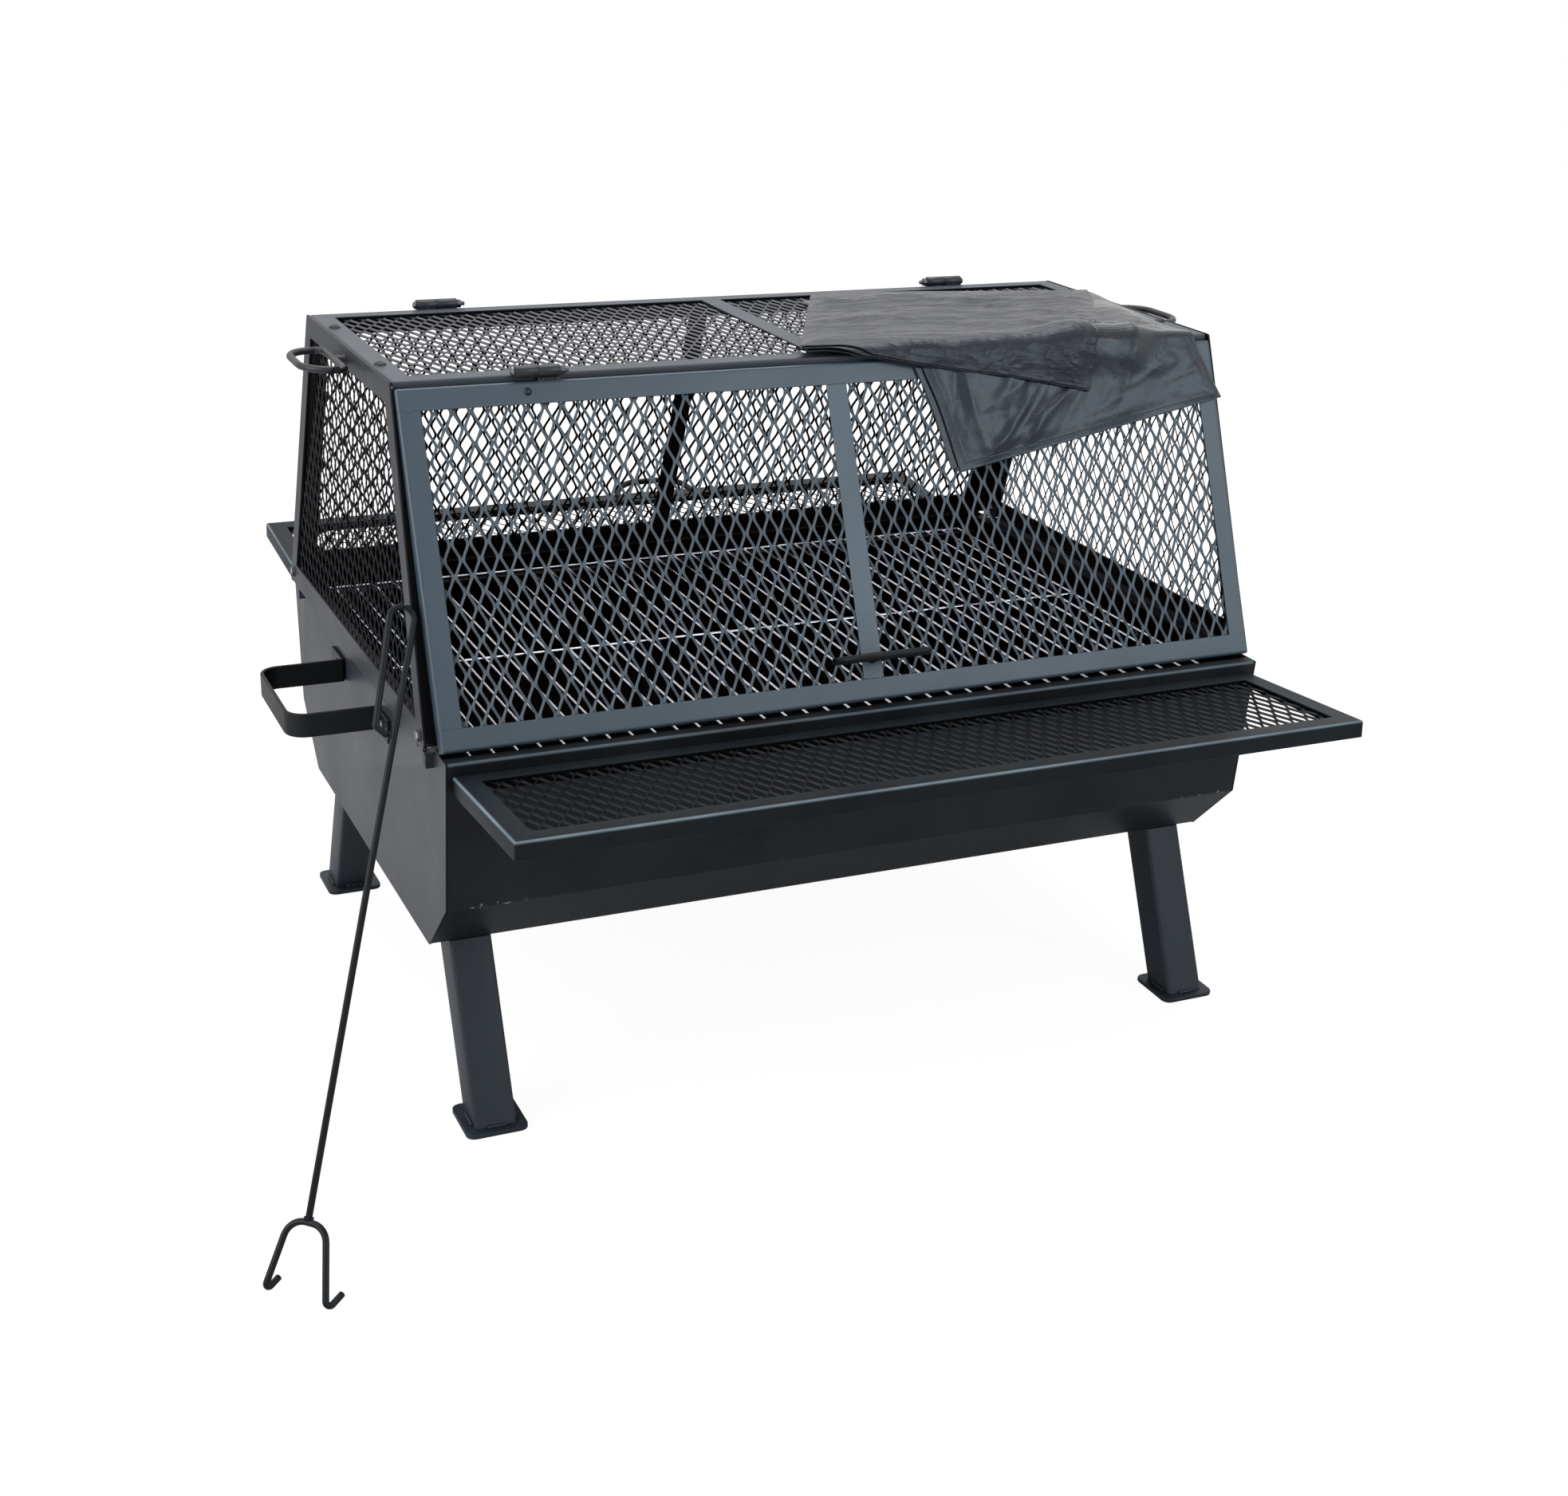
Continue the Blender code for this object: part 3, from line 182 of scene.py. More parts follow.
def piece(name, points, faces, material, body="pit", stands=False, smooth=35, wear=None, inner=None, plan=None):
    """A mesh object in place from arrays. One that stands for the CAD node of its name is called name_dressed.

    Per point, one share pales the paint for rubbed edges and a painted highlight along bends, and the inner share
    darkens it as painted shade; plan holds each point's place on a frame's face.
    """
    full_name = name + "_dressed" if stands else name
    data = bpy.data.meshes.new(full_name)
    data.from_pydata(np.asarray(points, float).tolist(), [], [list(map(int, face)) for face in faces])
    marked(data, wear=wear, inner=inner)
    if plan is not None:
        layer = data.attributes.new("plan", "FLOAT_VECTOR", "POINT")
        layer.data.foreach_set("vector", np.asarray(plan, np.float32).ravel())
    data.validate()
    if smooth:
        sharp_past(data, smooth)
    data.materials.append(material)
    return rides(new_object(full_name, data), body, name if stands else None)


def grid_faces(rows, columns, wrapped=False, start=0):
    """Quads between rings of points, numbered ring by ring; wrapped joins the last ring to the first."""
    row, column = np.meshgrid(np.arange(rows if wrapped else rows - 1), np.arange(columns), indexing="ij")
    here, after = row * columns, (row + 1) % rows * columns
    beside = (column + 1) % columns
    quads = np.stack((here + column, here + beside, after + beside, after + column), axis=-1)
    return (quads.reshape(-1, 4) + start).tolist()


def capped(rows, columns, start=0):
    """The faces of a closed tube of rings, with one face on each end."""
    end = start + rows * columns
    first, last = range(start, start + columns), range(end - columns, end)
    return grid_faces(rows, columns, start=start) + [tuple(first)[::-1], tuple(last)]


def rounded(corners, radii, steps=6, closed=False):
    """The path through the corners with each one replaced by an arc of its radius, as one array."""
    corners = [np.array(corner, float) for corner in corners]
    count = len(corners)
    picks = range(count) if closed else range(1, count - 1)
    path = [] if closed else [corners[0]]
    for pick, radius in zip(picks, radii):
        corner = corners[pick]
        back = unit(corners[pick - 1] - corner)
        ahead = unit(corners[(pick + 1) % count] - corner)
        half = math.acos(np.clip(back @ ahead, -1, 1)) / 2
        if radius <= 0 or half > math.pi / 2 - 0.01:
            path.append(corner)
            continue
        centre = corner + unit(back + ahead) * radius / math.sin(half)
        start = corner + back * radius / math.tan(half) - centre
        end = corner + ahead * radius / math.tan(half) - centre
        sweep = math.pi - 2 * half
        share = np.linspace(0, 1, steps + 1)[:, None]
        arm = start * np.sin(sweep * (1 - share)) + end * np.sin(sweep * share)
        path.extend(centre + arm / math.sin(sweep))
    return np.array(path if closed else path + [corners[-1]])


def headings(path, closed=False):
    """Along a path: the steps ahead and back of each point, and its direction between them."""
    ahead = np.roll(path, -1, 0) - path
    back = path - np.roll(path, 1, 0)
    if not closed:
        ahead[-1], back[0] = back[-1], ahead[0]
    return ahead, back, unit(unit(ahead) + unit(back))


def carried(path, profile):
    """A profile of (side, up) offsets carried along a path: point = path + side * sideways + up * upwards.

    Sideways is the path's direction x up, upwards is sideways x direction, and a bend's outside is stretched.
    """
    ahead, back, along = headings(path)
    side = unit(np.cross(along, np.broadcast_to(np.array(Z, float), along.shape)))
    lift = np.cross(side, along)
    stretch = 1 / np.maximum((unit(ahead) * along).sum(1), 0.3)
    turn = np.cross(unit(back), unit(ahead))
    in_plane = np.abs((turn * lift).sum(1)) > np.abs((turn * side).sum(1))
    side_by = np.where(in_plane, stretch, 1.0)[:, None, None]
    lift_by = np.where(in_plane, 1.0, stretch)[:, None, None]
    profile = np.asarray(profile, float)[None]
    return path[:, None] + side[:, None] * profile[..., :1] * side_by + lift[:, None] * profile[..., 1:] * lift_by


def rod_points(path, radius, sides=10, closed=False):
    """A round rod: circles of a radius about each point of a path, in frames carried along without twist."""
    path = np.asarray(path, float)
    along = headings(path, closed)[2]
    first = np.cross(along[0], Z)
    if np.linalg.norm(first) < 0.1:
        first = np.cross(along[0], X)
    sideways = [unit(first)]
    for way in along[1:]:
        sideways.append(unit(sideways[-1] - way * (sideways[-1] @ way)))
    side = np.array(sideways)
    lift = np.cross(along, side)
    angle = np.arange(sides) * 2 * math.pi / sides
    ring = np.stack((np.cos(angle), np.sin(angle)), 1)[None] * radius
    return path[:, None] + side[:, None] * ring[..., :1] + lift[:, None] * ring[..., 1:]


def rod(name, path, radius, material, body="pit", closed=False):
    """A bent round rod with slightly domed ends, or a closed ring of it."""
    sides = 14
    points = rod_points(path, radius, sides, closed)
    if closed:
        return piece(name, points.reshape(-1, 3), grid_faces(len(path), sides, True), material, body, smooth=60)

    def dome(ring, behind):
        """A smaller ring past the last one, and the point in front of it."""
        middle = ring.mean(0)
        past = unit(middle - behind.mean(0)) * radius * 0.35
        cap = middle + (ring - middle) * 0.75 + past * 0.7
        return cap[None], cap.mean(0) + past * 0.3

    (low, low_tip), (high, high_tip) = dome(points[0], points[1]), dome(points[-1], points[-2])
    points = np.concatenate((low, points, high))
    flat = points.reshape(-1, 3)
    count, last = len(flat), len(flat) - sides
    faces = grid_faces(len(points), sides)
    faces += [(count, (i + 1) % sides, i) for i in range(sides)]
    faces += [(count + 1, last + i, last + (i + 1) % sides) for i in range(sides)]
    return outward(piece(name, np.concatenate((flat, [low_tip, high_tip])), faces, material, body, smooth=50))


def edited(data, *steps):
    """Runs steps on an open copy of a mesh and writes it back."""
    work = bmesh.new()
    work.from_mesh(data)
    for step in steps:
        step(work)
    work.to_mesh(data)
    work.free()


def face_out(work):
    bmesh.ops.recalc_face_normals(work, faces=work.faces)


def merge(distance):
    return lambda work: bmesh.ops.remove_doubles(work, verts=work.verts, dist=distance)


def outward(made):
    """Turns all faces of a closed mesh outwards."""
    edited(made.data, face_out)
    return made


def weld(made, distance=0.00002):
    """Merges doubled points and turns the faces outwards."""
    def drop_slivers(work):
        bmesh.ops.dissolve_degenerate(work, edges=work.edges, dist=distance / 2)

    edited(made.data, merge(distance), drop_slivers, face_out)
    return made


def turned(name, profile, place, material, body="pit", sides=24, smooth=40):
    """A profile of (radius, height) turned about the place's out axis; a radius of 0 closes a pole."""
    profile = np.asarray(profile, float)
    angle = np.arange(sides) * 2 * math.pi / sides
    radius, height = profile[:, :1], profile[:, 1:]
    points = np.stack((radius * np.cos(angle), radius * np.sin(angle), height + 0 * angle), -1).reshape(-1, 3)
    return weld(piece(name, place.put(points), grid_faces(len(profile), sides), material, body, smooth=smooth))


def joined(name, parts, stands=False):
    """One object from several that share a body and a material."""
    def gather(work):
        for part in parts[1:]:
            work.from_mesh(part.data)

    first = parts[0]
    edited(first.data, gather)
    for part in parts[1:]:
        bpy.data.objects.remove(part, do_unlink=True)
    first.name = first.data.name = name + "_dressed" if stands else name
    if stands:
        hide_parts(name)
    return first


def slab(name, corners, place, material, body="pit"):
    """A small plate between two opposite corners, its edges eased by a bevel."""
    low, high = np.minimum(*np.array(corners, float)), np.maximum(*np.array(corners, float))
    pick = np.array([(0, 0, 0), X, (1, 1, 0), Y, Z, (1, 0, 1), (1, 1, 1), (0, 1, 1)])
    faces = [(0, 3, 2, 1), (4, 5, 6, 7), (0, 1, 5, 4), (1, 2, 6, 5), (2, 3, 7, 6), (3, 0, 4, 7)]
    def ease(work):
        bmesh.ops.bevel(work, geom=work.edges, offset=EASE, segments=1, affect="EDGES")

    made = piece(name, place.put(low + pick * (high - low)), faces, material, body)
    edited(made.data, ease, face_out)
    return made


def softened(node, material, width=0.0006, segments=2, inside=None):
    """A merged copy of a CAD node whose hard edges get a small round; inside picks the points that get painted
    shade.
    """
    def flatten(work):
        bmesh.ops.dissolve_limit(work, angle_limit=math.radians(1.0), verts=work.verts, edges=work.edges)

    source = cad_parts[node]
    data = source.data.copy()
    edited(data, merge(0.00003), flatten)
    data.materials.clear()
    data.materials.append(material)
    if inside is not None:
        points = np.zeros(len(data.vertices) * 3, np.float32)
        data.vertices.foreach_get("co", points)
        turn, shift = source.matrix_world.to_3x3(), source.matrix_world.translation
        marked(data, inner=inside(points.reshape(-1, 3) @ np.array(turn).T + np.array(shift) - PIT))
    made = new_object(node + "_dressed", data)
    made.matrix_world = source.matrix_world.copy()
    bevel = made.modifiers.new("edge", "BEVEL")
    bevel.width = width
    bevel.segments = segments
    bevel.limit_method = "ANGLE"
    bevel.angle_limit = math.radians(40)
    bevel.use_clamp_overlap = True
    bevel.harden_normals = True
    sharp_past(data, 50)
    return rides(made, "pit", node)


# Materials


def reckoned(operation):
    """A method that adds a math node for the operation."""
    return lambda self, other=0.0: maths(self.tree, operation, self, other)


class Value:
    """An output of a shader tree that can be reckoned with like a number."""

    def __init__(self, socket):
        self.socket = socket
        self.tree = socket.id_data

    __add__, __sub__, __mul__ = reckoned("ADD"), reckoned("SUBTRACT"), reckoned("MULTIPLY")
    __gt__, __lt__, __abs__ = reckoned("GREATER_THAN"), reckoned("LESS_THAN"), reckoned("ABSOLUTE")
    root, least, most = reckoned("SQRT"), reckoned("MINIMUM"), reckoned("MAXIMUM")

    def __rsub__(self, other):
        return maths(self.tree, "SUBTRACT", other, self)

    def mapped(self, low, high, to_low=0.0, to_high=1.0):
        """Its range drawn to another range and held inside it."""
        ends = {"From Min": low, "From Max": high, "To Min": to_low, "To Max": to_high}
        return out(add(self.tree, "ShaderNodeMapRange", clamp=True, Value=self, **ends), "Result")

    def between(self, first, second):
        """A colour between two, with this as the share."""
        mix = add(self.tree, "ShaderNodeMix", data_type="RGBA", clamp_factor=True, Factor=self, A=first, B=second)
        return out(mix, "Result")

    def noise(self, scale, detail=3.0, roughness=0.55):
        made = add(self.tree, "ShaderNodeTexNoise", Scale=scale, Detail=detail, Roughness=roughness, Vector=self)
        return out(made, "Fac")

    def parts(self):
        return [Value(socket) for socket in add(self.tree, "ShaderNodeSeparateXYZ", Vector=self).outputs]


def out(node, name=0):
    return Value(node.outputs[name])


def feed(entry, value):
    if isinstance(value, Value):
        value.tree.links.new(value.socket, entry)
    else:
        entry.default_value = value


def fed(node, **entries):
    """Sets or links a node's inputs; an underscore stands for a space."""
    for key, value in entries.items():
        feed(node.inputs[key.replace("_", " ")], value)


def add(tree, kind, **settings):
    """A node with its settings; the keys that name inputs set their values or link an output to them."""
    made = tree.nodes.new(kind)
    for key, value in settings.items():
        if hasattr(made, key) and key not in made.inputs:
            setattr(made, key, value)
        else:
            feed(made.inputs[key], value)
    return made


def maths(tree, operation, first, second=0.0):
    made = add(tree, "ShaderNodeMath", operation=operation)
    feed(made.inputs[0], first)
    feed(made.inputs[1], second)
    return out(made)


def attribute(tree, name, kind="Fac"):
    return out(add(tree, "ShaderNodeAttribute", attribute_name=name), kind)


def object_point(tree):
    return out(add(tree, "ShaderNodeTexCoord"), "Object")


def powder_group():
    """Powder coat: a cloudy tone, a fine orange-peel grain, faint dust, pale rubbed edges with a painted
    highlight along bends, and painted shade, dark and dull, on inner faces.
    """
    tree = bpy.data.node_groups.new("powder coat", "ShaderNodeTree")
    entries = {"Paint": (0.05, 0.05, 0.05, 1), "Worn": (0.2, 0.22, 0.24, 1), "Dust": 0.1, "Roughness": 0.42,
               "Gloss": 0.5, "Cloud": 0.1}
    for name, value in entries.items():
        kind = "NodeSocketFloat" if isinstance(value, float) else "NodeSocketColor"
        tree.interface.new_socket(name=name, in_out="INPUT", socket_type=kind).default_value = value
    for name in ("Colour", "Roughness", "Height", "Gloss"):
        kind = "NodeSocketColor" if name == "Colour" else "NodeSocketFloat"
        tree.interface.new_socket(name=name, in_out="OUTPUT", socket_type=kind)
    entry = add(tree, "NodeGroupInput")
    paint, worn_and_highlight, dusty, rough, gloss, cloudy = (out(entry, name) for name in entries)
    where = object_point(tree)
    cloud, grain, speck = where.noise(7.0, 4.0), where.noise(950.0, 2.0), where.noise(260.0, 4.0, 0.7)
    dust = speck.mapped(0.62, 0.80) * dusty
    tone = (cloud.mapped(0.35, 0.65) * cloudy).between(paint, worn_and_highlight)
    # Pale paint by the share read here: rubbed edges, and along bends a painted highlight.
    tone = (attribute(tree, "wear") * cloud.mapped(0.3, 0.7, 0.3, 0.75)).between(tone, worn_and_highlight)
    tone = dust.between(tone, (0.42, 0.43, 0.44, 1))
    # Painted shade: inner faces go near black and lose most of their gloss.
    inner = attribute(tree, "inner")
    fed(add(tree, "NodeGroupOutput"),
        Colour=inner.least(1.0).between(tone, (0.0025, 0.0025, 0.003, 1)),
        Gloss=gloss * (1.0 - inner * 0.85),
        Roughness=rough + cloud.mapped(0.3, 0.7, -0.05, 0.07) + dust * 0.3,
        Height=grain + speck * 0.5)
    return tree


POWDER = powder_group()


def cleared(data):
    """The empty node tree of a new material or world."""
    data.use_nodes = True
    data.node_tree.nodes.clear()
    return data.node_tree


def new_material(name):
    made = bpy.data.materials.new(name)
    tree = cleared(made)
    shader = add(tree, "ShaderNodeBsdfPrincipled")
    add(tree, "ShaderNodeOutputMaterial", Surface=out(shader))
    return made, tree, shader


def bumped(shader, height, strength, distance):
    bump = add(height.tree, "ShaderNodeBump", Strength=strength, Distance=distance, Height=height)
    fed(shader, Normal=out(bump))


def painted(name, paint, worn_and_highlight, roughness=0.42, dust=0.10, gloss=0.5, extra=None, cloud=0.10):
    """Satin powder coat; extra draws further marks on its colour."""
    made, tree, shader = new_material(name)
    coat = add(tree, "ShaderNodeGroup", node_tree=POWDER, Paint=(*paint, 1), Worn=(*worn_and_highlight, 1), Dust=dust,
               Roughness=roughness, Gloss=gloss, Cloud=cloud)
    colour = out(coat, "Colour")
    fed(shader, Base_Color=extra(tree, colour) if extra else colour, Roughness=out(coat, "Roughness"),
        Specular_IOR_Level=out(coat, "Gloss"))
    bumped(shader, out(coat, "Height"), 0.10, 0.0003)
    return made


def chipped_bend(tree, colour):
    """Bare flecks along the bowl's lower bend near its ends."""
    where = object_point(tree)
    x, _, z = where.parts()
    near_bend = abs(z - BEND[1]).mapped(0.0016, 0.0036, 1.0, 0.0)
    near_end = abs(x - float(PIT[0])).mapped(0.37, 0.40)
    flecks = where.noise(140.0, 4.0, 0.7).mapped(0.60, 0.66)
    return (near_bend * near_end * flecks).between(colour, (0.34, 0.34, 0.33, 1))


def keyed_corners(tree, colour):
    """Thin joint lines where a door's side bars meet its rails, each with a small round key in it.

    On the face's own plan, a is the distance in from the nearer side and b from the nearer rail's edge: a
    line lies at b = 0 for a < bar, and round a = 0.45 bar it gives way to an arc above it.
    """
    key, thin, faded = 0.0024, 0.00018, 0.00045
    x, y, _ = attribute(tree, "plan", "Vector").parts()
    a = DOOR_HALF - abs(x)
    b = y.least(DOOR_HEIGHT - y) - FRAME_BAR
    from_key = a - FRAME_BAR * 0.45
    radius = (from_key * from_key + b * b).root()
    arc = abs(radius - key).mapped(thin, faded, 1.0, 0.0) * (b > 0.0)
    line = abs(b).mapped(thin, faded, 1.0, 0.0) * (radius > key)
    drawn = arc.most(line) * (a < FRAME_BAR)
    return (drawn * 0.8).between(colour, (0.006, 0.007, 0.008, 1))


def metal(name, colour, roughness, stain, spots):
    """Plated or plain metal: a cloudy stain over the plating, fine scratches in its gloss."""
    made, tree, shader = new_material(name)
    where = object_point(tree)
    cloud, fine = where.noise(35.0, 5.0), where.noise(600.0, 3.0)
    fed(shader, Base_Color=cloud.mapped(0.45, 0.75, 0.0, spots).between((*colour, 1), (*stain, 1)),
        Roughness=fine.mapped(0.3, 0.7, roughness - 0.05, roughness + 0.08), Metallic=1.0)
    bumped(shader, fine, 0.08, 0.0002)
    return made


def wrinkle_lines(where, scale):
    """Sharp crossing wrinkles: one less the distance of a noise from its middle value, squared to a crest."""
    crest = abs(where.noise(scale) - 0.5).mapped(0.0, 0.11, 1.0, 0.0)
    return crest * crest


def cloth(name, dark, light, smooth, matt, gloss, stretch=1.0, wrinkled=0.5):
    """Black coated cloth: a fine plain weave pressed into a glossy coat, wrinkles and a stitched hem.

    Its roughness goes from smooth to matt over a cloudy noise.
    """
    made, tree, shader = new_material(name)
    where = out(add(tree, "ShaderNodeUVMap", uv_map="cloth"), "UV")
    waves = (add(tree, "ShaderNodeTexWave", bands_direction=way, Scale=330.0, Distortion=0.4, Vector=where)
             for way in "XY")
    warp, weft = (out(wave, "Fac") for wave in waves)
    point = object_point(tree)
    cloud, crease = point.noise(16.0, 6.0, 0.62), point.noise(75.0, 5.0, 0.6)
    turned_uv = add(tree, "ShaderNodeMapping", Scale=(stretch, 1.0, 1.0), Rotation=(0.0, 0.0, 0.25), Vector=where)
    wrinkles = wrinkle_lines(out(turned_uv), 13.0) + wrinkle_lines(out(turned_uv), 34.0) * 0.4
    seam = abs(attribute(tree, "edge") - SEAM_IN).mapped(0.0003, 0.0008, 1.0, 0.0)
    tone = cloud.mapped(0.35, 0.7).between((*dark, 1), (*light, 1))
    # The blue Specular_Tint is a painted tint of the light on the cloth's reflections.
    fed(shader, Base_Color=(seam * 0.5).between(tone, (0.002, 0.002, 0.002, 1)),
        Roughness=cloud.mapped(0.3, 0.7, smooth, matt), Specular_IOR_Level=gloss,
        Specular_Tint=(0.80, 0.90, 1.0, 1))
    bumped(shader, crease * 0.8 + warp * weft * 0.2 - seam + wrinkles * wrinkled, 0.35, 0.0013)
    return made


# PALE is the pale paint for rubbed edges and for the painted highlight along the door frames' bends.
PALE = (0.14, 0.19, 0.23)
SLATE = painted("slate powder coat", (0.054, 0.088, 0.116), PALE, gloss=0.6, cloud=0.03)
DOOR_PAINT = painted("door powder coat", (0.033, 0.057, 0.080), PALE, 0.39, gloss=0.56, extra=keyed_corners,
                     cloud=0.04)
SHELF_PAINT = painted("shelf powder coat", (0.0062, 0.0085, 0.0110), (0.26, 0.34, 0.38), gloss=0.10, dust=0.03,
                      cloud=0.02)
TOP_PAINT = painted("hood top powder coat", (0.028, 0.036, 0.050), (0.12, 0.14, 0.16), gloss=0.45)
LEG_PAINT = painted("leg powder coat", (0.018, 0.024, 0.031), (0.09, 0.11, 0.13), gloss=0.24, dust=0.05,
                    cloud=0.05)
GREY = painted("grey powder coat", (0.020, 0.022, 0.031), (0.11, 0.12, 0.14), gloss=0.36)
# The tub's paint again with a darker base and less gloss: painted shade on the trough's front and floor, which
# face away from the light.
SHADED_BOWL_PAINT = painted("bowl powder coat with painted shade", (0.0050, 0.0055, 0.0066), (0.10, 0.13, 0.15), 0.46, 0.03, 0.17,
                     chipped_bend)
# Near-black painted shade for the grate ledges deep in the pit and for the strips in the slots beside the doors.
SHADE_INSIDE = painted("inside painted shade", (0.004, 0.004, 0.005), (0.02, 0.02, 0.02), 0.5, 0.02, 0.15)
MESH_PAINT = painted("mesh powder coat", (0.052, 0.078, 0.100), (0.14, 0.18, 0.21), 0.36, 0.03, 0.75)
SHELF_MESH_PAINT = painted("shelf mesh powder coat", (0.0045, 0.0052, 0.0065), (0.02, 0.024, 0.028), 0.42, 0.02,
                           0.14)
TOP_MESH_PAINT = painted("top mesh powder coat", (0.034, 0.036, 0.046), (0.08, 0.085, 0.10), 0.40, 0.03, 0.45)
END_MESH_PAINT = painted("end mesh powder coat", (0.028, 0.029, 0.036), (0.07, 0.075, 0.085), 0.40, 0.03, 0.40)
END_PAINT = painted("end frame powder coat", (0.019, 0.021, 0.027), (0.10, 0.11, 0.13), gloss=0.34, cloud=0.04)
BLACK_BAR = painted("handle powder coat", (0.0050, 0.0058, 0.0070), (0.04, 0.045, 0.05), 0.42, 0.02, 0.18)
HINGE_PAINT = painted("hinge powder coat", (0.010, 0.013, 0.017), (0.07, 0.085, 0.10), 0.36, 0.04, 0.42)
RING_PAINT = painted("ring powder coat", (0.012, 0.013, 0.016), (0.06, 0.065, 0.07), 0.38, 0.02, 0.4)
POKER_PAINT = painted("blackened rod", (0.0060, 0.0080, 0.0105), (0.05, 0.06, 0.07), 0.36, 0.02, 0.17, cloud=0.04)
CHROME = metal("plated wire", (0.80, 0.83, 0.90), 0.09, (0.45, 0.47, 0.52), 0.3)
ZINC = metal("zinc plate", (0.15, 0.15, 0.155), 0.34, (0.07, 0.07, 0.07), 0.6)
LUG_BOLT = metal("dulled bolt", (0.10, 0.10, 0.105), 0.34, (0.05, 0.05, 0.05), 0.5)
HINGE_BOLT = metal("darkened bolt", (0.13, 0.13, 0.14), 0.30, (0.05, 0.05, 0.05), 0.5)
DARK_SCREW = metal("blackened screw", (0.045, 0.046, 0.052), 0.42, (0.02, 0.02, 0.02), 0.5)
PACKET_CLOTH = cloth("folded cloth", (0.006, 0.006, 0.009), (0.011, 0.011, 0.016), 0.26, 0.36, 0.44, 0.45, 5.0)
SHEET_CLOTH = cloth("coated cloth", (0.001, 0.002, 0.003), (0.004, 0.006, 0.008), 0.15, 0.22, 0.58)


# The bowl


def sheet_profile(path, thickness):
    """A closed profile of a bent sheet with eased ends: its outer line, and one a thickness to its left."""
    steps = np.diff(path, axis=0)
    ahead = unit(np.vstack((steps[:1], steps)) + np.vstack((steps, steps[-1:])))
    left = np.column_stack((-ahead[:, 1], ahead[:, 0]))
    way = unit(steps)
    cosine = np.ones(len(path))
    cosine[1:-1] = np.sqrt((1 + (way[1:] * way[:-1]).sum(1)) / 2)
    other = path + left * (thickness / cosine)[:, None]
    ease = thickness * 0.3
    outer = np.vstack((path[0] + left[0] * ease, path[0] + ahead[0] * ease, path[1:-1],
                       path[-1] - ahead[-1] * ease, path[-1] + left[-1] * ease))
    inner = np.vstack((other[-1] - left[-1] * ease, other[-1] - ahead[-1] * ease, other[-2:0:-1],
                       other[0] + ahead[0] * ease, other[0] - left[0] * ease))
    return np.vstack((outer, inner))


def build_trough():
    """The bent sheet's closed (y, z) profile drawn along x, with fan caps.

    Rolled sheet is never quite flat, so y moves by up to 0.35 mm in long slow waves on its walls.
    """
    side = [(RIM[0] - RIM_FLANGE, RIM[1]), RIM, BEND, FLOOR]
    path = rounded([(-y, z) for y, z in side] + side[::-1], [0.003, 0.008, 0.008, 0.008, 0.008, 0.003])
    profile = sheet_profile(path, TUB_SHEET)
    count = len(profile)
    end_x = TUB_HALF - TUB_SHEET - SEAT
    xs = np.linspace(-end_x, end_x, 41)
    points = np.stack([np.column_stack((np.full(count, x), profile)) for x in xs])
    x, z = points[..., 0], points[..., 2]
    on_wall = np.clip((0.40 - z) / 0.02, 0, 1) * np.clip((z - 0.255) / 0.02, 0, 1)
    points[..., 1] += 0.00035 * on_wall * np.sin(x * 9.0 + 1.3) * np.cos(z * 30.0 + x * 4.0)
    last = (len(xs) - 1) * count
    caps = [(i, i + 1, count - 2 - i, count - 1 - i) for i in range(count // 2 - 1)]
    faces = grid_faces(len(xs), count) + caps + [tuple(last + i for i in reversed(cap)) for cap in caps]
    # A painted highlight along the rim flange's edge, carried as a share of pale paint.
    from_rim = np.hypot(np.abs(profile[:, 0]) - RIM[0] + 0.0009, profile[:, 1] - RIM[1] + 0.0009)
    wear = np.tile(np.clip(2.2 - from_rim / 0.0011, 0, 1.6), len(xs))
    # The sheet's inner face gets painted shade.
    inner = np.tile(np.arange(count) >= count // 2, len(xs))
    flat = flat_place().put(points.reshape(-1, 3))
    weld(piece("tub_trough", flat, faces, SHADED_BOWL_PAINT, "pit", True, 30, wear, inner))


def within_tub(points):
    """True for points on the inner side of the bowl's end plates."""
    return np.abs(points[:, 0]) < TUB_HALF - TUB_SHEET / 2


def build_bowl():
    build_trough()
    for end, _ in ENDS:
        # The end plates' inner halves get painted shade.
        softened("tub_end_" + end, GREY, 0.0005, inside=within_tub)
    # The grate ledges get near-black painted shade.
    for side in ("front", "rear"):
        softened("grate_ledge_" + side, SHADE_INSIDE, 0.0004)
    for _, end, turn in TURNS:
        hems = []
        for low_y, high_y in ((-0.2710, 0.2710), (-0.2879, -0.2965), (0.2879, 0.2965)):
            hem = [(-TUB_HALF - 0.0001, low_y, RIM[1] - 0.002), (-TUB_HALF - 0.0110, high_y, RIM[1] + 0.0006)]
            hems.append(slab("hem", hem, flat_place(turn), GREY))
        joined("tub_end_hem_" + end, hems)


def weld_bead(path, material, width=0.0034, body="pit", seed=1):
    """A run of weld: a half-round ridge along a path whose radius swells at each puddle.

    Radius = width / 2 * (0.72 + 0.28 |sin| along the path), shaken by a fixed sine of the seed.
    """
    path = np.asarray(path, float)
    along = np.concatenate(([0], np.cumsum(np.linalg.norm(np.diff(path, axis=0), axis=1))))
    count = max(int(along[-1] / 0.0008), 6)
    at = np.linspace(0, along[-1], count)
    line = np.column_stack([np.interp(at, along, path[:, axis]) for axis in range(3)])
    swell = 0.72 + 0.28 * np.abs(np.sin(at / 0.0036 * math.pi)) + 0.1 * np.sin(at * 700 + seed * 2.1)
    swell[0] = swell[-1] = 0.3
    centre = line[:, None]
    points = centre + (rod_points(line, 1.0, 8) - centre) * (swell * width / 2)[:, None, None]
    return outward(piece("bead", points.reshape(-1, 3), capped(count, 8), material, body, smooth=60))


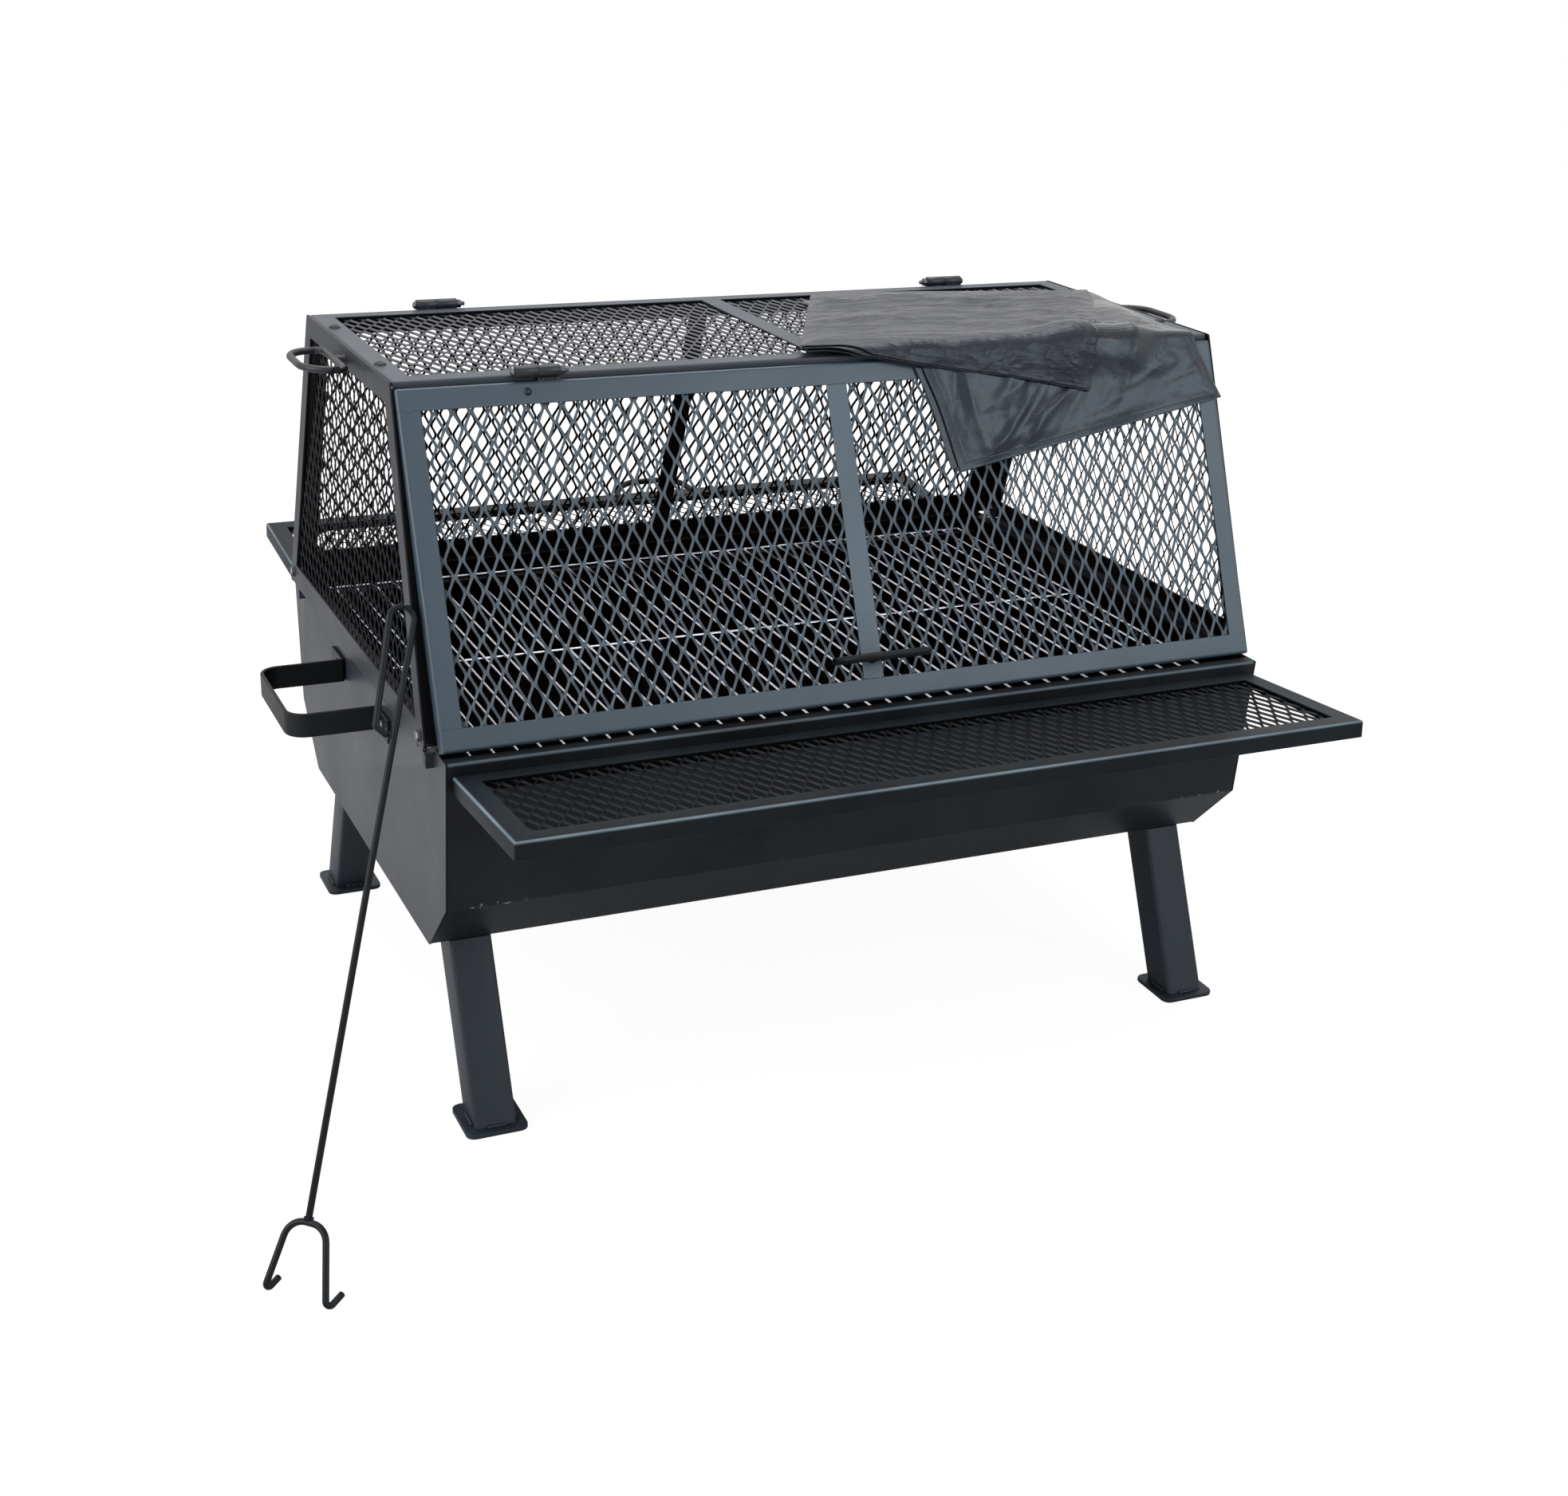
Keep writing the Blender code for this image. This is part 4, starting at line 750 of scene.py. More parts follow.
def build_legs():
    """Each leg and foot plate, with a short run of weld on each side of the leg's foot."""
    runs = ((0.28, 0.72), (0.2, 0.8), (0.25, 0.7), (0.3, 0.8))
    turns = ((-1, -1), (1, -1), (1, 1), (-1, 1), (-1, -1))
    half = np.array(LEG_HALF) + 0.001
    for side_name, side in (("front", -1), ("rear", 1)):
        for end_name, end in ENDS:
            key = side_name + "_" + end_name
            softened("leg_" + key, LEG_PAINT, 0.0005)
            softened("foot_plate_" + key, LEG_PAINT, 0.0009)
            middle = np.array((end, side)) * LEG_FOOT + PIT[:2]
            loop = [np.array((*(middle + half * turn), 0.0062)) for turn in turns]
            beads = [weld_bead([a + (b - a) * first, a + (b - a) * last], LEG_PAINT, 0.0042, seed=seed)
                     for seed, (a, b, (first, last)) in enumerate(zip(loop, loop[1:], runs))]
            joined("leg_weld_" + key, beads)


# Framed panels


def inset_corners(corners, distance):
    """Each corner of an anticlockwise outline moved in so that every side moves in by the distance."""
    corners = np.asarray(corners, float)
    first, second = unit(corners - np.roll(corners, 1, 0)), unit(np.roll(corners, -1, 0) - corners)
    normal_one = np.column_stack((-first[:, 1], first[:, 0]))
    normal_two = np.column_stack((-second[:, 1], second[:, 0]))
    return corners + (normal_one + normal_two) * (distance / (1 + (normal_one * normal_two).sum(1)))[:, None]


def frame_section(bend, lip, painted_shine):
    """A bar's section as (inwards, depth, wear, inner): its face, bend and lip, and back along the inside. The
    third column pales the eased edges as wear and the bend as a painted highlight; the fourth marks the inner
    side for painted shade.
    """
    arc = np.linspace(0, math.pi / 2, 6)
    bar, sheet = FRAME_BAR, FRAME_SHEET
    small = max(bend - sheet, 0.0004)
    rows = [(bar, EASE, 0.1, 0.5), (bar - EASE, 0.0, 0.03, 0), (bend + 0.0010, 0.0, 0.0, 0)]
    # Along the bend the pale share is a painted highlight, strongest at the bend's middle.
    rows += [(bend - bend * math.sin(a), bend - bend * math.cos(a), painted_shine * math.sin(2 * a) ** 2, 0) for a in arc]
    # Rows with a 1 last lie on the inner side and get painted shade.
    rows += [(0.0, lip - EASE, 0.0, 0), (EASE, lip, 0.1, 0), (sheet - EASE, lip, 0.1, 1),
             (sheet, lip - EASE, 0.0, 1)]
    rows += [(sheet + small - small * math.cos(a), sheet + small - small * math.sin(a), 0.0, 1) for a in arc]
    return np.array(rows + [(bar - EASE, sheet, 0.0, 1), (bar, sheet - EASE, 0.1, 1)])


def framed(name, corners, lips, place, material, body="pit", bend=0.0032, painted_shine=0.12):
    """A frame of bent bars: each point of the section goes round the outline at its own inset and depth.

    lips gives each side's lip depth; between two sides with unlike lips the depth changes inside the corner.
    """
    lip, steps = lips[0], 4
    section = frame_section(bend, lip, painted_shine)
    share = np.tile(np.linspace(0, 1, steps + 1), 4)
    deep = np.repeat(np.roll(lips, 1), steps + 1) * (1 - share) + np.repeat(lips, steps + 1) * share
    rings = []
    for inwards, depth, _, _ in section:
        ring = rounded(inset_corners(corners, inwards), [max(0.0022 - inwards, 0.0002)] * 4, steps, closed=True)
        past_bend = (depth - bend) / max(lip - bend, 1e-6) * (deep - bend)
        z = -bend - past_bend if depth > bend else np.full(len(ring), -depth)
        rings.append(np.column_stack((ring, np.maximum(z, -deep))))
    flat = np.concatenate(rings)
    count = len(rings[0])
    # Pale paint for wear and the bend's painted highlight, and painted shade on the inner side.
    wear, inner = np.repeat(section[:, 2], count), np.repeat(section[:, 3], count)
    faces = grid_faces(len(rings), count, True)
    return outward(piece(name, place.put(flat), faces, material, body, True, 28, wear, inner, flat))


def side_limits(corners, x):
    """The lowest and highest y at which the upright line at x crosses a convex outline."""
    hits = []
    for start, end in zip(corners, np.roll(corners, -1, 0)):
        if (start[0] - x) * (end[0] - x) < 0:
            hits.append(start[1] + (x - start[0]) / (end[0] - start[0]) * (end[1] - start[1]))
    return (min(hits), max(hits)) if len(hits) == 2 else (0, 0)


def expanded(name, corners, place, material, body="pit", drop=MESH_DROP):
    """Expanded metal in a frame: upright ribbons that swing from bond to bond and lie side by side at each bond.

    A ribbon's middle is x = column + swing * wave(y), wave being a rounded triangle wave cut off at 1 so
    that it stays at a bond for a while. Its section is tilted, so z follows x by the tilt.
    """
    corners = inset_corners(corners, FRAME_BAR - MESH_LAP)
    pitch, half, thick = MESH_SHORT / 2, MESH_STRAND / 2, MESH_SHEET / 2
    (low_x, low_y), (high_x, high_y) = corners.min(0), corners.max(0)
    columns = int((high_x - low_x) / pitch) + 1
    cos_tilt, sin_tilt = math.cos(MESH_TILT), math.sin(MESH_TILT)
    swing = pitch / 2 - half * cos_tilt
    section = np.array([(-half, -thick), (half, -thick), (half, thick), (-half, thick)])
    section = section @ np.array([[cos_tilt, sin_tilt], [-sin_tilt, cos_tilt]])
    all_points, faces, start = [], [], 0
    for index in range(columns + 1):
        column = -(columns // 2) * pitch + (index + 0.5) * pitch
        bottom, top = side_limits(corners, column)
        count = int((top - bottom) / (MESH_LONG / MESH_STEPS)) + 2
        if column < low_x + half or column > high_x - half or count < 4:
            continue
        y = np.linspace(bottom, top, count)
        phase = (y - (low_y + high_y) / 2) / MESH_LONG * 2 * math.pi + math.pi * index
        slant = np.arcsin(0.96 * np.sin(phase)) / math.asin(0.96)
        wave = np.clip(slant * 1.10, -1, 1)
        x = column + swing * wave
        lean = 1 / np.sqrt(1 + np.gradient(x, y) ** 2)
        wide = (0.86 + 0.14 * np.abs(wave)) * (0.4 + 0.6 / np.maximum(lean, 0.5))
        points = np.empty((count, 4, 3))
        points[..., 0] = x[:, None] + section[None, :, 0] * wide[:, None]
        points[..., 1] = y[:, None]
        points[..., 2] = (-half * sin_tilt * wave)[:, None] + section[None, :, 1] - drop
        all_points.append(points.reshape(-1, 3))
        faces += capped(count, 4, start)
        start += count * 4
    # The two lower points of each strand's section get painted shade.
    inner = np.tile((1.0, 1.0, 0.0, 0.0), start // 4)
    flat = place.put(np.concatenate(all_points))
    return outward(piece(name, flat, faces, material, body, True, 40, inner=inner))


def strap(name, low, high, place, material, body="pit"):
    """A flat bar across a frame, with its ends lapped over the frame's bars and eased edges."""
    half, ease, deep = FRAME_BAR / 2, 0.0004, FRAME_SHEET - EASE
    right = [(half - ease, 0), (half, -ease), (half, -deep), (half - EASE, -FRAME_SHEET)]
    left = [(-half + EASE, -FRAME_SHEET), (-half, -deep), (-half, -ease)]
    section = np.array([(-half + ease, 0)] + right + left)
    points = [np.column_stack((section[:, 0] * (1 - shrink / half), np.full(8, y), section[:, 1]))
              for y, shrink in ((low, ease), (low + ease, 0), (high - ease, 0), (high, ease))]
    # The strap's underside gets painted shade.
    inner = np.tile(section[:, 1] < -0.0008, 4)
    flat = place.put(np.concatenate(points))
    return outward(piece(name, flat, capped(4, 8), material, body, True, 30, inner=inner))


def outline(low_half, low, high, high_half=None):
    """The corners of a panel that is symmetric about x = 0."""
    high_half = low_half if high_half is None else high_half
    return [(-low_half, low), (low_half, low), (high_half, high), (-high_half, high)]


def d_ring(name, stud, place, material, body="pit"):
    """A D of round rod on a short stud: a closed path of four rounded corners in the place's x-z plane."""
    rod_width, width, depth = 0.0075, 0.108, 0.048
    near = SEAT + stud + rod_width / 2
    far = near + depth - rod_width
    half = (width - rod_width) / 2
    corners = [(-half, 0, near), (half, 0, near), (half, 0, far), (-half, 0, far)]
    path = rounded(corners, [0.009, 0.009, 0.032, 0.032], 8, closed=True)
    ring = rod("ring", place.put(path), rod_width / 2, material, body, True)
    stem = [(0, SEAT), (0.0055, SEAT), (0.0052, 0.0012), (0.0043, 0.0025), (0.0043, near), (0, near)]
    return joined(name, [outward(ring), turned("peg", stem, place, material, body)], True)


def build_doors():
    corners = outline(DOOR_HALF, 0, DOOR_HEIGHT)
    for side, _, turn in TURNS:
        place, body = door_place(turn), side + "_door"
        framed(body + "_frame", corners, (DOOR_LIP, DOOR_LIP, 0.0045, DOOR_LIP), place, DOOR_PAINT, body)
        expanded(body + "_mesh", corners, place, MESH_PAINT, body)
        strap(body + "_strap", FRAME_BAR + SEAT, DOOR_HEIGHT - FRAME_BAR - SEAT, place, SLATE, body)
        d_ring(body + "_handle", 0.010, place.at((0, 0.043, 0)), BLACK_BAR, body)


def build_top():
    place = Place((0, 0, TOP_Z), X, Y)
    corners = outline(TOP_HALF[0], -TOP_HALF[1], TOP_HALF[1])
    framed("hood_top_frame", corners, (0.008, 0.0021, 0.008, 0.0021), place, TOP_PAINT, bend=0.0028)
    expanded("hood_top_mesh", corners, place, TOP_MESH_PAINT)
    reach = TOP_HALF[1] - FRAME_BAR - SEAT
    strap("hood_top_strap", -reach, reach, place, TOP_PAINT)
    pan_head = [(0, 0.0034), (0.0018, 0.0034), (0.0021, 0.0027), (0.0026, 0.0030), (0.0045, 0.0023),
                (0.0060, 0.0010), (0.0064, 0.0001), (0, 0.0001)]
    joined("hood_top_screws", [turned("screw", pan_head, place.at((x, y, 0)), DARK_SCREW, sides=20)
                               for x in (-HOOD_SCREW[0], HOOD_SCREW[0]) for y in (-HOOD_SCREW[1], HOOD_SCREW[1])])


def within_end(points):
    """True for points on the inner side of an end plate: more than half its thickness in from its slope."""
    return np.abs(points[:, 0]) < END_FOOT[0] - END_RUN / END_RISE * (points[:, 2] - END_FOOT[2]) - 0.0012


def end_lip(side, turn):
    """A strip in from an end plate's upright edge that closes the slot beside a door.

    Its outline has the plate's slope on one side and an upright line behind the door's side bar on the
    other, and it is 0.8 mm thick.
    """
    rows = []
    for z in (END_FOOT[2] + 0.004, END_TOP[2] - 0.006):
        share = (z - END_FOOT[2]) / END_RISE
        outer = END_FOOT[0] - END_RUN * share - 0.0022
        deep = END_FOOT[1] + (END_TOP[1] - END_FOOT[1]) * share - 0.0030
        for y in (deep, deep - 0.0008):
            rows += [(-outer, side * y, z), (-DOOR_HALF + 0.0120, side * y, z)]
    faces = [(0, 1, 5, 4), (2, 6, 7, 3), (0, 4, 6, 2), (1, 3, 7, 5), (0, 2, 3, 1), (4, 5, 7, 6)]
    # The strip is painted shade, near black.
    return outward(piece("lip", np.array(rows) @ turn.T + PIT, faces, SHADE_INSIDE, smooth=0))


def build_ends():
    corners = outline(END_FOOT[1], 0, END_HEIGHT, END_TOP[1])
    ring_up = (RING_Z - END_FOOT[2]) * END_HEIGHT / END_RISE
    for _, end, turn in TURNS:
        joined("hood_end_lips_" + end, [end_lip(side, turn) for side in (-1, 1)])
        place = end_place(turn)
        # The end frame's inner half gets painted shade.
        softened("hood_end_frame_" + end, END_PAINT, 0.0011, 3, within_end)
        expanded("hood_end_mesh_" + end, corners, place, END_MESH_PAINT, drop=MESH_DROP + 0.0005)
        d_ring("end_ring_" + end, 0.0065, place.at((0, ring_up, 0)), RING_PAINT)


def build_shelves():
    inner_y = BEND[0] + (RIM[0] - BEND[0]) * (SHELF_INNER_Z - BEND[1]) / (RIM[1] - BEND[1]) + SEAT
    up = (0, SHELF_OUTER[0] - inner_y, SHELF_INNER_Z - SHELF_OUTER[1])
    corners = outline(SHELF_HALF, 0, math.hypot(*up))
    for side, _, turn in TURNS:
        place = Place((0, -SHELF_OUTER[0], SHELF_OUTER[1]), X, up, turn)
        # A strong painted highlight along the shelf frames' front bend.
        framed("shelf_frame_" + side, corners, [SHELF_LIP] * 4, place, SHELF_PAINT, bend=0.0030, painted_shine=1.3)
        expanded("shelf_mesh_" + side, corners, place, SHELF_MESH_PAINT)


# Handles, hinges and fasteners


def build_side_handles():
    """A flat bar carried along a U, with its lugs turned out along the bowl's end."""
    half, tall, ease = 0.002, 0.01275, 0.0006
    wall, reach = -TUB_HALF - SEAT - half, -TUB_HALF - HANDLE_REACH + half
    inner, lug = 0.079 - half, 0.124
    corners = [(wall, -lug), (wall, -inner), (reach, -inner), (reach, inner), (wall, inner), (wall, lug)]
    path = rounded([(x, y, HANDLE_Z) for x, y in corners], [0.003, 0.020, 0.020, 0.003], 8)
    profile = [(-half + ease, -tall), (half - ease, -tall), (half, -tall + ease), (half, tall - ease),
               (half - ease, tall), (-half + ease, tall), (-half, tall - ease), (-half, -tall + ease)]
    points = carried(path, profile).reshape(-1, 3)
    for _, end, turn in TURNS:
        outward(piece("side_handle_" + end, points @ turn.T + PIT, capped(len(path), 8), BLACK_BAR, stands=True))


def hex_head(place, height, material, across=0.0100, washer=0.0):
    """A hexagon head, maybe on a washer: a six-sided prism whose top ring is drawn in."""
    radius = across / 2 / math.cos(math.pi / 6)
    base = 0.0008 if washer else 0.0
    rings = [(0.0, base), (radius * 0.97, base), (radius, base + 0.0003), (radius, height - 0.0008),
             (radius * 0.86, height), (0.0, height)]
    parts = [turned("hex", rings, place, material, sides=6, smooth=20)]
    if washer:
        disc = [(0, 0), (washer, 0), (washer + 0.0002, 0.0003), (washer, base), (0, base)]
        parts.insert(0, turned("washer", disc, place, material))
    return joined("head", parts)


def thread(place, radius, low, high, material):
    """A threaded end: a turned profile whose radius steps in and out every 0.9 mm."""
    count = max(int((high - low) / 0.00045), 2)
    radii = radius * (1 - 0.08 * (np.arange(count + 1) % 2))
    tip = [(radius * 0.7, high + 0.0004), (0, high + 0.0004)]
    profile = [(0, low)] + list(zip(radii, np.linspace(low, high, count + 1))) + tip
    return turned("thread", profile, place, material, sides=14, smooth=15)


def knuckle(node, body, middle, on_top, turn):
    """One half of a hinge: a bored barrel, the leaf under it and the bead that holds it."""
    _, y, z = HINGE
    half = KNUCKLE / 2
    barrel = [(0.0028, -half), (0.0056, -half), (0.0060, -half + 0.0005), (0.0060, half - 0.0005), (0.0056, half),
              (0.0028, half), (0.0028, -half)]
    tube = turned("barrel", barrel, Place((middle, -y, z), Y, Z, turn), HINGE_PAINT, body, 28)
    low_x, high_x = middle - half + 0.0005, middle + half - 0.0005
    if on_top:
        foot, low, high = flat_place(turn), (-y + 0.0040, TOP_Z - 0.006), (-0.1756, z - 0.0035)
        seam = (-0.1765, TOP_Z + 0.0012)
    else:
        foot, low, high = door_place(turn), (DOOR_HEIGHT - 0.002, -0.0018), (DOOR_HEIGHT + 0.0045, -0.0002)
        seam = (DOOR_HEIGHT + 0.001, 0.0006)
    leaf = slab("leaf", [(low_x, *low), (high_x, *high)], foot, HINGE_PAINT, body)
    bead = weld_bead(foot.put([(low_x + 0.002, *seam), (high_x - 0.002, *seam)]), HINGE_PAINT, 0.003, body)
    joined(node, [tube, leaf, bead], True)


def build_hinges():
    x_middle, y, z = HINGE
    round_head = [(0, 0), (0.0040, 0), (0.0042, 0.0006), (0.0038, 0.0020), (0.0026, 0.0031), (0.0011, 0.0035),
                  (0, 0.0035)]
    rivet = [(0, 0.0022), (0.0016, 0.0021), (0.0032, 0.0014), (0.0040, 0.0002), (0, 0.0001)]
    for side, _, turn in TURNS:
        for end_name, end in ENDS:
            key = side + "_" + end_name
            way = end if side == "front" else -end
            shift = (KNUCKLE + SEAT) / 2
            knuckle("hinge_top_knuckle_" + key, "pit", way * (x_middle + shift), True, turn)
            knuckle("hinge_door_knuckle_" + key, side + "_door", way * (x_middle - shift), False, turn)
            head_place = Place((way * (x_middle + KNUCKLE + 2 * SEAT), -y, z), (0, way, 0), Z, turn)
            nut_place = Place((way * (x_middle - KNUCKLE - 2 * SEAT), -y, z), (0, -way, 0), Z, turn)
            joined("hinge_bolt_" + key, [turned("head", round_head, head_place, HINGE_BOLT),
                                         hex_head(nut_place, 0.0045, HINGE_BOLT, 0.0085),
                                         thread(nut_place, 0.0025, -0.001, 0.0085, HINGE_BOLT)], True)
        body, reach, high = side + "_door", x_middle + KNUCKLE / 2, DOOR_HEIGHT - 0.0105
        spots = [door_place(turn).at((x, high, 0)) for x in (-reach, reach)]
        joined(body + "_rivets", [turned("rivet", rivet, spot, DARK_SCREW, body, 18) for spot in spots])


def build_bolts():
    """The hood's hexagon bolts and the side handles' round-headed ones, each with its nut and thread inside."""
    round_head = [(0, 0), (0.0060, 0), (0.0060, 0.0006), (0.0050, 0.0022), (0.0030, 0.0031), (0, 0.0034)]
    hood_z = END_FOOT[2] + FRAME_BAR / 2
    behind_plate, on_lug, behind_wall = -0.4622, -TUB_HALF - 0.0046, -TUB_HALF + 0.0023
    thick, nut = 0.0030, 0.0040
    for _, end, turn in TURNS:
        for side in (-1, 1):
            key = ("front_" if (side < 0) == (end == "left") else "rear_") + end
            spot = Place((-END_FOOT[0], side * HOOD_BOLT_Y, hood_z), (0, -1, 0), Z, turn)
            head = hex_head(spot, 0.0036, ZINC, washer=0.0062)
            inside = Place((behind_plate, side * HOOD_BOLT_Y, hood_z), Y, Z, turn)
            parts = [head, hex_head(inside, nut, ZINC), thread(inside, thick, 0.0, 0.0050, ZINC)]
            joined("hood_bolt_" + key, parts, True)
            spot = Place((on_lug, side * HANDLE_BOLT_Y, HANDLE_Z), (0, -1, 0), Z, turn)
            head = turned("head", round_head, spot, LUG_BOLT)
            inside = Place((behind_wall, side * HANDLE_BOLT_Y, HANDLE_Z), Y, Z, turn)
            parts = [head, hex_head(inside, nut, LUG_BOLT), thread(inside, thick, 0.0, 0.0058, LUG_BOLT)]
            joined("handle_bolt_" + key, parts, True)


# Grate and poker


def build_grate():
    """Round wires: 36 across the pit on three cross wires, each a straight run of circles with capped ends."""
    high = WIRE / 2 * math.cos(math.pi / 6)
    cross_z = LEDGE_Z + SEAT + high
    long_z = cross_z + 2 * high - 0.0003
    reach_x, reach_y = WIRE_PITCH * (WIRES - 1) / 2, CROSS_WIRES[-1] + 0.0004
    lines = [((x, -reach_y, long_z), (x, reach_y, long_z)) for x in np.arange(WIRES) * WIRE_PITCH - reach_x]
    lines += [((-reach_x - 0.006, y, cross_z), (reach_x + 0.006, y, cross_z)) for y in CROSS_WIRES]
    share = np.array([0, 0.0008, 1 - 0.0008, 1])[:, None]
    size = np.array([0.6, 1, 1, 0.6])[:, None, None] * WIRE_DRAWN / 2
    points, faces = [], []
    for index, (first, last) in enumerate(np.array(lines)):
        path = first + (last - first) * share
        centre = path[:, None]
        points.append((centre + (rod_points(path, 1.0) - centre) * size).reshape(-1, 3))
        faces += capped(4, 10, index * 40)
    outward(piece("cooking_grate", np.concatenate(points) + PIT, faces, CHROME, "grate", True, 40))


def build_poker():
    """The rod's and the fork's paths are worked out as in the part's source and carried by a round section."""
    foot = np.array([-END_FOOT[0], -END_FOOT[1], END_FOOT[2]])
    top = np.array([-END_TOP[0], -END_TOP[1], END_TOP[2]])
    post = foot + (top - foot) * (POKER_LEAN_Z - foot[2]) / END_RISE
    inward = np.array([1.0, 0, 0])
    front = unit(np.cross(inward, post - foot))
    leaning = post + inward * (-DOOR_HALF - 0.001 - ROD / 2 - post[0]) + front * (ROD / 2 + SEAT)
    bends, wide, arch_up = [0.004, 0.018, 0.018, 0.004], 0.024, 0.071

    def fork(tip_z):
        left, right = (np.array((*tip, tip_z)) for tip in POKER_TIPS)
        middle = (left + right) / 2
        up = unit(leaning - middle)
        hook = unit(np.array([0.8, 0.5, 0.33])) * 0.022
        shoulder = unit(right - left) * 0.0185
        arch = middle + up * arch_up
        return [left + hook, left, arch - shoulder, arch + shoulder, right, right + hook], middle, up

    standing = ROD / 2 + SEAT
    corners, middle, up = fork(2 * standing - rounded(fork(standing)[0], bends, 3)[:, 2].min())
    across = unit(inward - up * (up @ inward))
    loop = [middle + up * arch_up, leaning, leaning - across * wide,
            middle + up * 0.525 - across * 0.0185, middle + up * 0.519 - across * (ROD + 2 * SEAT)]
    shaft = rounded(loop, [wide * 0.49, wide * 0.49, 0.005], 10) + PIT
    joint, end = middle + up * arch_up + PIT, shaft[-1] + across * 0.003
    bead = [joint - across * 0.004 + up * 0.002, joint + up * 0.0045, joint + across * 0.004 + up * 0.002]
    joined("poker", [rod("fork", rounded(corners, bends, 8) + PIT, ROD / 2, POKER_PAINT, "poker"),
                     rod("shaft", shaft, ROD / 2, POKER_PAINT, "poker"),
                     weld_bead(bead, POKER_PAINT, 0.006, "poker"),
                     weld_bead([end - up * 0.003, end + up * 0.004], POKER_PAINT, 0.0045, "poker", 3)], True)


# The cover


COVER_LOWER_LEFT = [(0.105, 0.288), (0.100, 0.120), (0.093, -0.008), (0.112, -0.060), (0.126, -0.130)]
COVER_LOWER_RIGHT = [(0.457, 0.250), (0.440, 0.140), (0.428, 0.035), (0.433, -0.006), (0.446, -0.040),
                     (0.459, -0.071)]
COVER_UPPER_FRONT = [(-0.034, 0.009), (0.030, -0.001), (0.102, -0.017), (0.200, -0.033), (0.291, -0.053)]
COVER_UPPER_REAR = [(0.105, 0.288), (0.220, 0.270), (0.330, 0.248), (0.438, 0.229)]


def bell(share):
    """A smooth step: 3 share^2 - 2 share^3."""
    return share ** 2 * (3 - 2 * share)


def cover_line(x, s, lift):
    """Where a cloth lies at s behind the hood's front edge: level, over the edge, then down the door.

    Level: z = top + lift. Round the edge: an arc of radius rest + lift from straight up to the door's
    outward normal. Down the door: along its slope. A smooth hump carries it over the hinge's barrel.
    Returns (y, z, outward y, outward z).
    """
    up = np.array([DOOR_RUN, DOOR_RISE]) / DOOR_HEIGHT
    axis_y, axis_z, radius = -0.1795, 0.7357, 0.0044
    sweep = math.atan2(up[0], -up[1]) - math.pi / 2
    arc = radius * sweep
    angle = math.pi / 2 + np.clip(-s / arc + 0.5, 0, 1) * sweep
    past, behind = np.clip(-s - arc / 2, 0, None), np.clip(s - arc / 2, 0, None)
    across = np.clip(1.45 - np.abs(x - HINGE[0]) / 0.062, 0, 1)
    along = np.clip(1.30 - np.abs(s) / 0.036, 0, 1)
    hump = 0.0088 * bell(across) * bell(along)
    out_y, out_z = np.cos(angle), np.sin(angle)
    high = radius + lift + hump
    y = axis_y + out_y * high + behind - up[0] * past
    z = axis_z + out_z * high - up[1] * past
    level = TOP_Z + 0.0012 + lift + hump
    z = np.where(behind > 0, level + (axis_z + high - level) * np.exp(-behind / 0.022), z)
    return y, z, out_y, out_z


def turned_by(x, s, heading):
    """Distances along and aside of a heading."""
    return x * math.cos(heading) + s * math.sin(heading), -x * math.sin(heading) + s * math.cos(heading)


def creases(x, s, seed, count, spread, heading, length, height, width):
    """Sharp little folds: each is a ridge height * exp(-distance from its line / width), faded at its ends.

    Lines start at random places in the spread, run about along the heading, and bow a little.
    """
    rng = np.random.default_rng(seed)
    total = np.zeros_like(x)
    for _ in range(count):
        at = rng.uniform(*spread[0]), rng.uniform(*spread[1])
        angle = heading + rng.normal(0, 0.5)
        long, wide, tall = rng.uniform(*length), rng.uniform(*width), rng.uniform(*height) * rng.choice((-0.6, 1))
        along, aside = turned_by(x - at[0], s - at[1], angle)
        aside = aside + rng.uniform(-2, 2) * along ** 2
        fade = np.clip(1 - np.abs(along) / long, 0, 1)
        total += tall * fade * np.exp(-np.sqrt(aside ** 2 + 0.0008 ** 2) / (wide * (0.4 + fade)))
    return total


def crumple(x, s, seed, cell, heading, stretch, tall):
    """Crumpled facets: height = tall * distance to the nearest of scattered points / cell.

    The points lie on a shaken grid that is turned by the heading and stretched along it, so the facets are long.
    """
    rng = np.random.default_rng(seed)
    along, aside = turned_by(x / cell, s / cell, heading)
    along = along / stretch
    along, aside = along + 0.3 * np.sin(aside * 1.7), aside + 0.25 * np.sin(along * 2.3 + 1)
    cells = (np.arange(math.floor(way.min()) - 1, math.ceil(way.max()) + 2) for way in (along, aside))
    column, row = np.meshgrid(*cells)
    seeds = np.column_stack((column.ravel(), row.ravel())) + rng.uniform(0, 1, (column.size, 2))
    weight = rng.uniform(0.5, 1.0, len(seeds))
    nearest = np.full(x.shape, 9.0)
    for (at_x, at_y), heavy in zip(seeds, weight):
        nearest = np.minimum(nearest, np.hypot(along - at_x, aside - at_y) * heavy + (1 - heavy) * 0.5)
    return tall * nearest


def slack(x, s):
    """Broad crumpled facets with soft swells; on the door, deeper pleats fan out from the front corner."""
    swell = 0.0016 * np.sin(x * 31 + s * 12 + 0.6) * np.cos(s * 27 - x * 9)
    fan = creases(x, s, 5, 14, ((0.13, 0.24), (-0.11, -0.03)), 1.15, (0.04, 0.10), (0.0022, 0.0056),
                  (0.003, 0.0055))
    right = creases(x, s, 8, 20, ((0.26, 0.46), (-0.07, 0.10)), 0.5, (0.03, 0.08), (0.0014, 0.0040),
                    (0.0025, 0.006))
    facets = crumple(x, s, 6, 0.050, 0.8, 1.8, 0.0050) + crumple(x, s, 7, 0.018, -0.3, 1.6, 0.0010)
    return 0.0004 + swell + fan * np.clip(-s / 0.03, 0, 1) + right + facets


